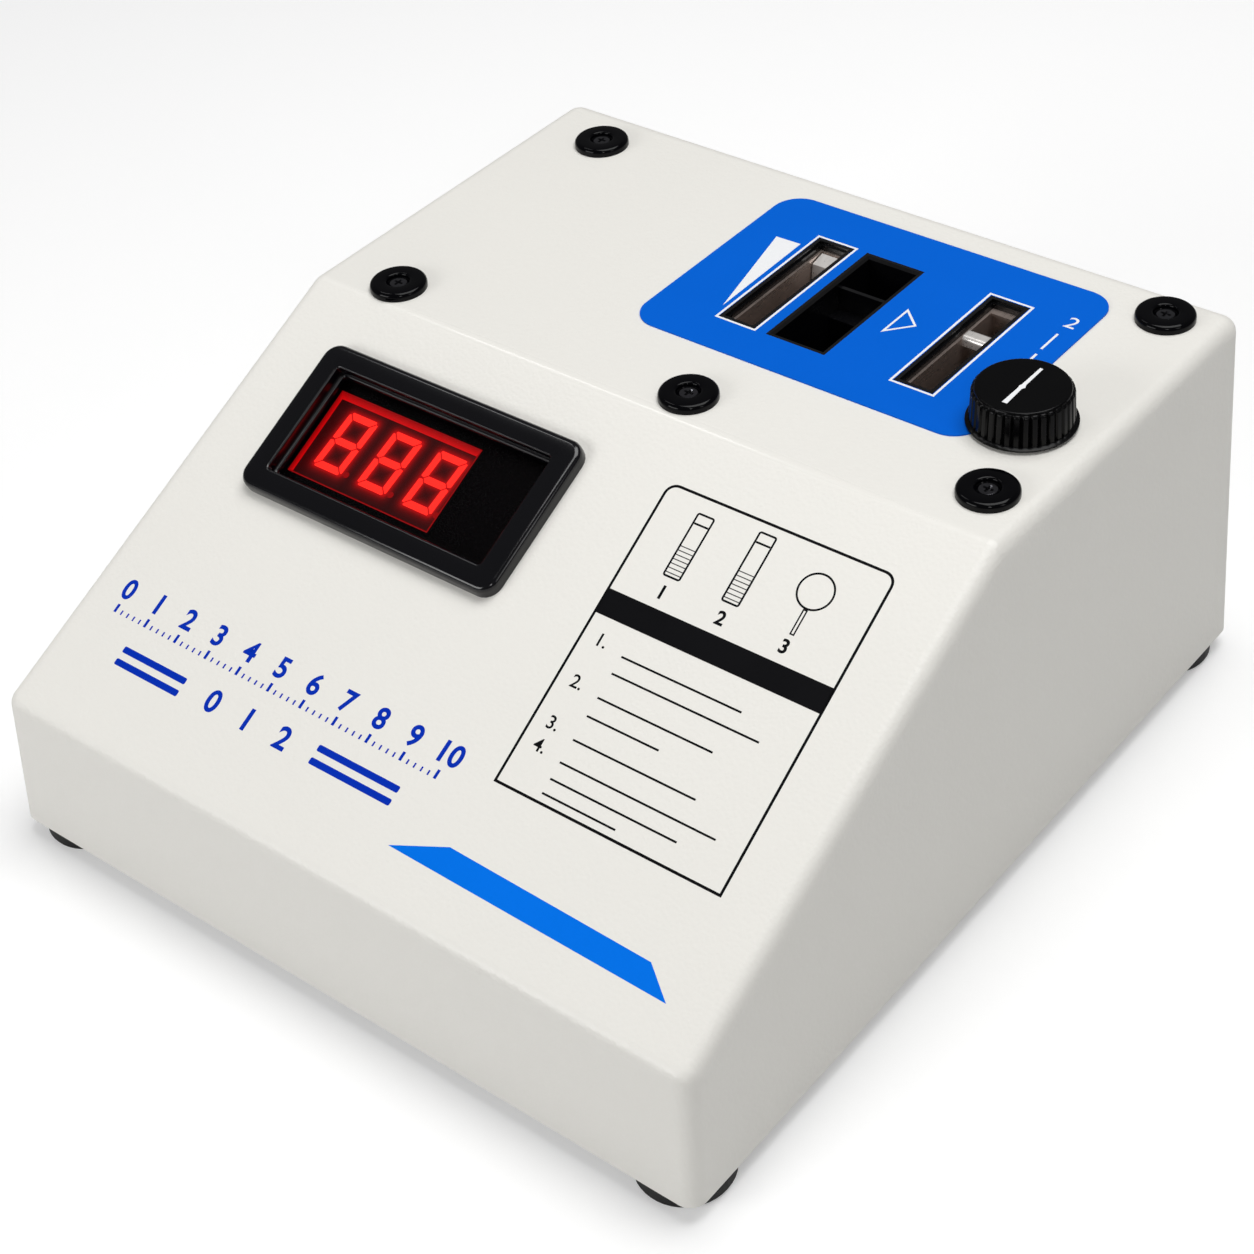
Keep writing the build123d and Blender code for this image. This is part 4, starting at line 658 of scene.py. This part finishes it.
def cup():
    """A cup washer with a rounded rim and a dished middle."""
    rim = [(cup_radius - inset, height) for inset, height in rounding(0, cup_height, 1.3)]
    dish = [(dish_radius + inset, height) for inset, height in rounding(0, cup_height, 0.7)]
    middle = [(dish_radius, cup_floor + 0.5), (countersink, cup_floor), (screw_hole, cup_floor)]
    profile = [(cup_radius, 0), *rim, *reversed(dish), *middle, (screw_hole, 0)]
    return turned(profile + profile[:1])


def cross_points(scale, steps=64):
    """Points round the cross recess, at even turns."""
    points = []
    for step in range(steps):
        turn = 2 * math.pi * (step + 0.5) / steps
        from_arm = (turn + math.pi / 4) % (math.pi / 2) - math.pi / 4
        reach = min(recess_radius / math.cos(from_arm), recess_width / abs(math.sin(from_arm)))
        points.append((scale * reach * math.cos(turn), scale * reach * math.sin(turn)))
    return points


def round_points(radius, steps=64):
    """Points round the axis of a screw, at the same turns as those of its cross recess."""
    turns = [2 * math.pi * (step + 0.5) / steps for step in range(steps)]
    return [(radius * math.cos(turn), radius * math.sin(turn)) for turn in turns]


def screw():
    """A cross-recess screw with a low rounded head, and its nut under the deck."""
    rings = [
        (round_points(screw_radius), nut_top - nut_height - 1.0),
        (round_points(screw_radius), cup_floor + 0.1),
        (round_points(head_radius - 0.1), head_height - 0.5),
        (round_points(head_radius), head_height - 0.35),
        (round_points(head_radius - 0.15), head_height - 0.12),
        (round_points(recess_radius + 0.35), head_height),
        (cross_points(1.0), head_height - 0.05),
        (cross_points(0.6), head_height - recess_depth),
    ]
    nut = [(circle(0, 0, nut_radius, 6), nut_top - nut_height), (circle(0, 0, nut_radius, 6), nut_top)]
    return joined([lofted(rings), lofted(nut)])


cups = [moved(cup(), x, y) for x, y in screw_places]
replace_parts(piece("cup_washers", joined(cups), cup_black, top_face), "screw_cups")
screws = [moved(screw(), x, y) for x, y in screw_places]
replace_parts(piece("cross_screws", joined(screws), screw_black, top_face), "deck_screws")

# ---------------------------------------------------------------- filter knob
knob_low, knob_high = [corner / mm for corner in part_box("filter_knob")]
knob_face = Matrix.Translation((*knob_place, knob_low.z))
knob_height = knob_high.z - knob_low.z - ink
knob_steps = 288
flutes = 36
skirt_radius = 14.7
skirt_height = 0.8
shoulder = 1.5  # below the top, where the flutes start to run out


def fluted(radius, depth):
    """Points round the knob, with narrow grooves of a depth."""
    points = []
    for step in range(knob_steps):
        turn = 2 * math.pi * step / knob_steps
        reach = radius - depth * max(0, math.cos(flutes * turn)) ** 2
        points.append((reach * math.cos(turn), reach * math.sin(turn)))
    return points


knob_rings = [
    (3.0, 0, knob_height - 2.0),
    (8.6, 0, 4.4),
    (8.6, 0, 0),
    (skirt_radius - 0.15, 0, 0),
    (skirt_radius, 0, 0.15),
    (skirt_radius, 0, skirt_height - 0.3),
    (skirt_radius - 0.5, 0, skirt_height),
    (13.75, 0.75, skirt_height + 0.15),
    (13.35, 0.75, knob_height - shoulder),
    (13.2, 0.6, knob_height - shoulder + 0.4),
    (12.9, 0.3, knob_height - shoulder + 0.7),
    (12.6, 0, knob_height - shoulder + 0.85),
    (12.5, 0, knob_height - 0.3),
    (12.35, 0, knob_height - 0.08),
    (12.1, 0, knob_height),
    (11.7, 0, knob_height),
]
knob_skin = lofted([(fluted(radius, depth), height) for radius, depth, height in knob_rings])
fluted_knob = piece("fluted_knob", knob_skin, knob_black, knob_face, "filter_knob", 40)
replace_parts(fluted_knob, "filter_knob")

pointer_length = 9.0  # each way from the middle
pointer = flat(
    [
        (-0.75, -pointer_length),
        (0.75, -pointer_length),
        (0.5, -1.6),
        (1.0, -0.6),
        (0.55, 0.5),
        (0.45, pointer_length),
        (-0.45, pointer_length),
        (-0.55, 0.3),
        (-0.8, -0.6),
        (-0.6, -1.6),
    ]
)
pointer_face = knob_face @ Matrix.Translation((0, 0, knob_height))
printed("knob_pointer", [pointer], ink_white, pointer_face, "filter_knob")

# ---------------------------------------------------------------- panel meter
bezel_width = 93.0
bezel_length = 49.1
bezel_radius = 5.0
bezel_rise = 4.0
bezel_round = 1.8
opening_width = 78.0
opening_length = 35.0
opening_radius = 1.0
sleeve_width = 88.4
sleeve_length = 44.4
sleeve_depth = 6.0
lip = 0.7  # stands into the opening above the window
lip_bottom = -1.1


def frame_points(inset):
    """Points round the bezel, moved inwards."""
    radius = bezel_radius - inset
    return rectangle(meter_x, meter_y, bezel_width - 2 * inset, bezel_length - 2 * inset, radius)


def opening_points(outset):
    """Points round the opening of the bezel, moved outwards."""
    radius = opening_radius + max(outset, 0)
    return rectangle(
        meter_x, meter_y, opening_width + 2 * outset, opening_length + 2 * outset, radius
    )


outer_round = [(frame_points(inset), height) for inset, height in rounding(0, bezel_rise, bezel_round)]
inner_round = [(opening_points(inset), height) for inset, height in rounding(0, bezel_rise, 0.8)]
lip_round = [(opening_points(inset - lip), height) for inset, height in rounding(0, 0.6, 0.9)]
sleeve_points = rectangle(meter_x, meter_y, sleeve_width, sleeve_length, 0.5)
bezel_loops = [
    (frame_points(0), 0),
    *outer_round,
    *reversed(inner_round),
    *reversed(lip_round),
    (opening_points(-lip), lip_bottom),
    (opening_points(0), lip_bottom),
    (opening_points(0), -sleeve_depth),
    (sleeve_points, -sleeve_depth),
    (sleeve_points, 0),
]
bezel = piece("bezel_frame", lofted(bezel_loops, hollow=True), bezel_black, slope_face)
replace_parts(bezel, "meter_bezel")

# The three digits share a red tray with a dark face
digit_pitch = 17.4
digit_count = 3
tray_left = meter_x - opening_width / 2 + 1.0
tray_width = digit_count * digit_pitch
tray_x = tray_left + tray_width / 2
tray_length = 27.6
tray_top = -2.5
tray_depth = 8.0
tray_floor = -4.2
tray_wall = 1.5


def tray_points(inset):
    """Points round the digit tray, moved inwards."""
    return rectangle(tray_x, meter_y, tray_width - 2 * inset, tray_length - 2 * inset)


# Its far wall slopes, and the others are upright
tray_rim = 0.3
floor_width = tray_width - 2 * tray_rim
floor_length = tray_length - 2 * tray_rim - tray_wall
floor_y = meter_y - tray_wall / 2
tray_floor_points = rectangle(tray_x, floor_y, floor_width, floor_length)
tray_loops = [
    (tray_points(0), tray_top - tray_depth),
    (tray_points(0), tray_top),
    (tray_points(tray_rim), tray_top),
    (tray_floor_points, tray_floor),
]
tray = piece("digit_tray", lofted(tray_loops), display_red, slope_face)
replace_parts(tray, "led_digits")


def tray_glow(place):
    """Painted glow for the light of the bars falling on the tray: the foot of the walls catches the most
    light, and the outside none.
    """
    if place.z < tray_floor - 1:
        return 0
    return 0.9 if place.z < tray_top - 0.1 else 0.4


# The tray is no lamp: its glow is painted light from the bars, strongest on the walls and weaker on the
# rim.
set_glow(tray, tray_glow)

# A black mask fills the rest of the opening beside the tray
mask_top = tray_top - 0.1
mask_depth = 1.0
mask_points = rectangle(meter_x, meter_y, opening_width - 0.4, opening_length - 0.4)
mask_loops = [
    (mask_points, mask_top - mask_depth),
    (mask_points, mask_top),
    (tray_points(-0.05), mask_top),
    (tray_points(-0.05), mask_top - mask_depth),
]
piece("display_mask", lofted(mask_loops, hollow=True), display_black, slope_face)

glyph_pitch = 16.7
glyph_width = 10.7
glyph_height = 18.7
glyph_bar = 2.1
glyph_gap = 0.26
glyph_cut = 1.0  # across the outer corners
glyph_lean = math.tan(math.radians(3.5))
first_glyph_x = -73.7
glyph_y = 108.3
dot_radius = 0.95


def glyph_shapes(x, y):
    """The seven light bars of a digit with mitred ends, leaned to the right, about a middle."""
    side, level = glyph_width / 2, glyph_height / 2
    inner_side, inner_level, half = side - glyph_bar, level - glyph_bar, glyph_bar / 2
    level_bar = [
        (side - glyph_cut, level),
        (side - glyph_cut / 2 - glyph_gap, level - glyph_cut / 2),
        (inner_side - glyph_gap, inner_level),
        (glyph_gap - inner_side, inner_level),
        (glyph_gap + glyph_cut / 2 - side, level - glyph_cut / 2),
        (glyph_cut - side, level),
    ]
    upright_bar = [
        (side, level - glyph_cut),
        (side - glyph_cut / 2, level - glyph_cut / 2 - glyph_gap),
        (inner_side, inner_level - glyph_gap),
        (inner_side, half + glyph_gap),
        (side - half, glyph_gap),
        (side, 2 * glyph_gap),
    ]
    middle_bar = [
        (side - half - glyph_gap, 0),
        (inner_side - glyph_gap, half),
        (glyph_gap - inner_side, half),
        (half + glyph_gap - side, 0),
        (glyph_gap - inner_side, -half),
        (inner_side - glyph_gap, -half),
    ]
    bars = [middle_bar]
    bars += [[(px, end * py) for px, py in level_bar] for end in (-1, 1)]
    bars += [[(hand * px, end * py) for px, py in upright_bar] for hand in (-1, 1) for end in (-1, 1)]
    return [flat([(x + px + py * glyph_lean, y + py) for px, py in bar_points]) for bar_points in bars]


glyph_middles = [first_glyph_x + step * glyph_pitch for step in range(digit_count)]
segment_face = slope_face @ Matrix.Translation((0, 0, tray_floor + 0.1))
glyphs = [shape for x in glyph_middles for shape in glyph_shapes(x, glyph_y)]
piece("lit_segments", raised(joined(glyphs), ink), segment_red, segment_face)
dot_places = [(x + 6.4, glyph_y - 8.2) for x in glyph_middles]
dots = [flat(circle(x, y, dot_radius, 24)) for x, y in dot_places]
# The unlit dots are given a faint painted glow.
unlit = piece("unlit_dots", raised(joined(dots), ink), display_red, segment_face)
set_glow(unlit, lambda place: 0.4)


def distance_to_line(place, start, end):
    """How far a point is from a straight line between two points."""
    share = (place - start).dot(end - start) / (end - start).length_squared
    return (place - start.lerp(end, min(1, max(0, share)))).length


def lines_of_light():
    """The middle lines of all the light bars."""
    side, level = (glyph_width - glyph_bar) / 2, (glyph_height - glyph_bar) / 2
    lines = [((-side, height), (side, height)) for height in (-level, 0, level)]
    lines += [((hand, height), (hand, height + level)) for hand in (-side, side) for height in (-level, 0)]
    placed = []
    for x in glyph_middles:
        placed += [[Vector((x + px + py * glyph_lean, glyph_y + py)) for px, py in line] for line in lines]
    return placed


glow_lines = lines_of_light()


def halo(place):
    """A painted glow round the light bars on the face of the tray, standing in for their light spreading
    onto it.
    """
    nearest = min(distance_to_line(place.to_2d(), start, end) for start, end in glow_lines)
    beyond = max(0, nearest - glyph_bar / 2)
    return 0.6 * math.exp(-beyond / 0.7) + 0.1 * math.exp(-beyond / 2.5)


face = bmesh.new()
bmesh.ops.create_grid(face, x_segments=120, y_segments=60, size=0.5)
bmesh.ops.scale(face, vec=(floor_width, floor_length, 1), verts=face.verts)
moved(face, tray_x, floor_y, tray_floor + 0.02)
digit_face = piece("digit_face", face, display_red, slope_face)
# The face of the tray gets a painted glow that is brightest next to the bars.
set_glow(digit_face, halo)

# ---------------------------------------------------------------- print on the blue label
slot_line = 0.7
slot_y = 76.4
label_marks = [
    flat(rectangle(3.2, slot_y, 13.8, 49.9), line=slot_line),
    flat(rectangle(61.0, slot_y, 14.2, 50.2), line=slot_line),
    flat([(-13.7, 94.4), (-5.1, 57.1), (-5.4, 94.7)]),
    flat([(39.3, 82.8), (39.2, 69.3), (46.0, 76.8)], line=0.65),
    flat(rectangle(80.0, 89.5, 0.7, 8.5)),
    number("2", 7.5, 80.6, 100.0),
    number("1", 7.5, 80.2, 79.7),
]
printed("label_print", label_marks, ink_white, label_face)

# ---------------------------------------------------------------- print on the slope
stripe = flat([(14.4, 15.3), (103.5, 13.9), (94.5, 20.8), (30.2, 22.2)])
printed("slope_stripe", [stripe], ink_bright_blue, slope_face)

bar_thickness = 1.9
blue_marks = []
for left, right, low, high in ((-93.5, -69.0, 23.8, 27.7), (-20.4, 8.0, 24.9, 28.8)):
    for middle in (low, high):
        corners = rectangle((left + right) / 2, middle, right - left, bar_thickness, 0.5)
        blue_marks.append(flat(corners))

# A scale from 0 to 10 with plain numbers
scale_left = -104.0
scale_step = 11.9
scale_y = 36.2
scale_steps = 10
ticks_a_step = 5
scale_weight = 0.22
for step in range(scale_steps + 1):
    x = scale_left + step * scale_step
    blue_marks.append(number(str(step), 8.4, x, scale_y + 6.6, scale_weight))
    blue_marks.append(flat(rectangle(x, scale_y + 0.7, 0.9, 2.6)))
for step in range(scale_steps):
    for part in range(1, ticks_a_step):
        x = scale_left + (step + part / ticks_a_step) * scale_step
        blue_marks.append(flat(rectangle(x, scale_y + 0.1, 0.5, 1.4)))
short_left = -57.5
short_step = 13.0
for step in range(3):
    blue_marks.append(number(str(step), 9.0, short_left + short_step * step, 26.2, scale_weight))
printed("blue_print", blue_marks, ink_dark_blue, slope_face)

# ---------------------------------------------------------------- guide panel on the slope
panel_left = 28.0
panel_right = 98.9
panel_low = 42.0
panel_high = 133.2
panel_line = 0.75
band_low = 92.9
band_high = 100.2
panel_corner = 3.5
panel_lean = 0.05  # the whole print leans to the left by this much of its height
thin_line = 0.55
rule_line = 0.25
text_line = 0.55

panel_width = panel_right - panel_left
panel_x = (panel_left + panel_right) / 2
panel_y = (panel_low + panel_high) / 2
rounded = rectangle(panel_x, panel_y, panel_width, panel_high - panel_low, panel_corner)
panel_top = [(x, y) for x, y in rounded if y > panel_y]
guide_marks = [
    flat([*panel_top, (panel_left, panel_low), (panel_right, panel_low)], line=panel_line),
    flat(rectangle(panel_x, (band_low + band_high) / 2, panel_width, band_high - band_low)),
]

# Two sample tubes and a filter disc, numbered 1 to 3
tube_width = 5.6
tube_low = 109.1
tube_corner = 0.8
cap_drop = 3.2
level_marks = 7
level_step = 1.3
for x, high in ((42.9, 128.4), (61.4, 130.2)):
    middle = (tube_low + high) / 2
    tube = rectangle(x, middle, tube_width, high - tube_low, tube_corner)
    guide_marks.append(flat(tube, line=thin_line))
    guide_marks.append(flat(rectangle(x, high - cap_drop, tube_width - 1.2, thin_line)))
    for step in range(level_marks):
        level = tube_low + level_step * (step + 1)
        guide_marks.append(flat(rectangle(x, level, tube_width - 0.5, rule_line)))
disc_x = 81.0
disc_y = 121.0
disc_radius = 5.3
stem_low = 108.2
stem_high = disc_y - disc_radius
stem_width = 1.4
stem_line = 0.4
stem = rectangle(disc_x, (stem_low + stem_high) / 2, stem_width, stem_high - stem_low)
guide_marks.append(flat(circle(disc_x, disc_y, disc_radius), line=thin_line))
guide_marks.append(flat(stem, line=stem_line))
for text, x in (("1", 42.7), ("2", 61.3), ("3", 80.8)):
    guide_marks.append(number(text, 5.4, x, 104.6, 0.14))

# Four numbered lines to write on
line_start = 42.0
for text, y in (("1.", 86.5), ("2.", 74.0), ("3.", 61.8), ("4.", 55.2)):
    guide_marks.append(number(text, 5.2, 34.6, y, 0.05))
ruled_lines = [
    (79.5, 85.0),
    (87.7, 80.0),
    (78.0, 72.8),
    (64.7, 67.4),
    (80.3, 60.4),
    (90.3, 53.8),
    (81.5, 49.0),
    (65.2, 44.9),
]
for end, y in ruled_lines:
    guide_marks.append(flat(rectangle((line_start + end) / 2, y, end - line_start, text_line)))

for mark in guide_marks:
    for vertex in mark.verts:
        vertex.co.x -= panel_lean * (vertex.co.y - panel_y)
printed("guide_print", guide_marks, ink_black, slope_face)

# ---------------------------------------------------------------- stage
floor_shape = bmesh.new()
bmesh.ops.create_grid(floor_shape, x_segments=1, y_segments=1, size=6.0)
floor_mesh = bpy.data.meshes.new("floor")
floor_shape.to_mesh(floor_mesh)
floor_shape.free()
floor = bpy.data.objects.new("floor", floor_mesh)
bpy.context.scene.collection.objects.link(floor)

# The floor keeps its shadows, and what the camera sees of it is lifted to white
floor_white = bpy.data.materials.new("floor_white")
floor_white.use_nodes = True
floor_tree = floor_white.node_tree
floor_shader = floor_tree.nodes["Principled BSDF"]
floor_shader.inputs["Base Color"].default_value = (0.8, 0.8, 0.8, 1)
floor_shader.inputs["Roughness"].default_value = 0.9
floor_shader.inputs["Specular IOR Level"].default_value = 0.0
floor_shader.inputs["Emission Color"].default_value = (1, 1, 1, 1)
floor_ray = floor_tree.nodes.new("ShaderNodeLightPath")
seen_floor = add_node(
    floor_tree,
    "ShaderNodeMath",
    {0: floor_ray.outputs["Is Camera Ray"], 1: floor_ray.outputs["Is Transmission Ray"]},
    operation="MAXIMUM",
)
floor_lift = 0.29
lift = add_node(
    floor_tree, "ShaderNodeMath", {0: seen_floor.outputs[0], 1: floor_lift}, operation="MULTIPLY"
)
floor_tree.links.new(lift.outputs[0], floor_shader.inputs["Emission Strength"])
floor_mesh.materials.append(floor_white)

# The camera sees a white backdrop, and the object is lit by a dimmer one
ambient = 0.14
world = bpy.data.worlds.new("studio")
bpy.context.scene.world = world
world.use_nodes = True
world_tree = world.node_tree
world_ray = world_tree.nodes.new("ShaderNodeLightPath")
seen_world = add_node(
    world_tree,
    "ShaderNodeMath",
    {0: world_ray.outputs["Is Camera Ray"], 1: world_ray.outputs["Is Transmission Ray"]},
    operation="MAXIMUM",
)
strength = add_node(
    world_tree,
    "ShaderNodeMath",
    {0: seen_world.outputs[0], 1: 1 - ambient, 2: ambient},
    operation="MULTIPLY_ADD",
)
world_tree.links.new(strength.outputs[0], world_tree.nodes["Background"].inputs["Strength"])
world_tree.nodes["Background"].inputs["Color"].default_value = (1, 1, 1, 1)


# ---------------------------------------------------------------- lights and camera
def softbox(name, place, aim, width, length, power):
    """A rectangular studio light at a place, aimed at a point. Lengths are in metres."""
    light = bpy.data.lights.new(name, "AREA")
    light.shape = "RECTANGLE"
    light.size = width
    light.size_y = length
    light.energy = power
    lamp = bpy.data.objects.new(name, light)
    lamp.location = place
    lamp.rotation_euler = (Vector(aim) - Vector(place)).to_track_quat("-Z", "Y").to_euler()
    bpy.context.scene.collection.objects.link(lamp)


softbox("overhead", (0.15, 0.25, 1.3), (0, 0, 0.06), 0.9, 0.9, 12.3)
softbox("front_fill", (-0.5, -1.3, 0.6), (0, 0, 0.06), 0.9, 0.5, 7.4)
softbox("edge_light", (0.75, -0.75, 0.8), (0, 0, 0.1), 0.15, 0.15, 1.1)
softbox("side_light", (1.0, -0.05, 0.65), (0, 0, 0.08), 0.2, 0.4, 0.55)
softbox("crease_light", (-0.62, 0.14, 1.0), (0, 0, 0.12), 0.12, 0.3, 0.5)

camera_data = bpy.data.cameras.new("camera")
camera_data.sensor_width = 36
camera_data.lens = 72.36
camera = bpy.data.objects.new("camera", camera_data)
camera.location = (0.3653, -0.4080, 0.4958)
camera.rotation_euler = (math.radians(50.11), math.radians(4.10), math.radians(38.47))
bpy.context.scene.collection.objects.link(camera)
bpy.context.scene.camera = camera
bpy.context.scene.view_settings.view_transform = "Standard"
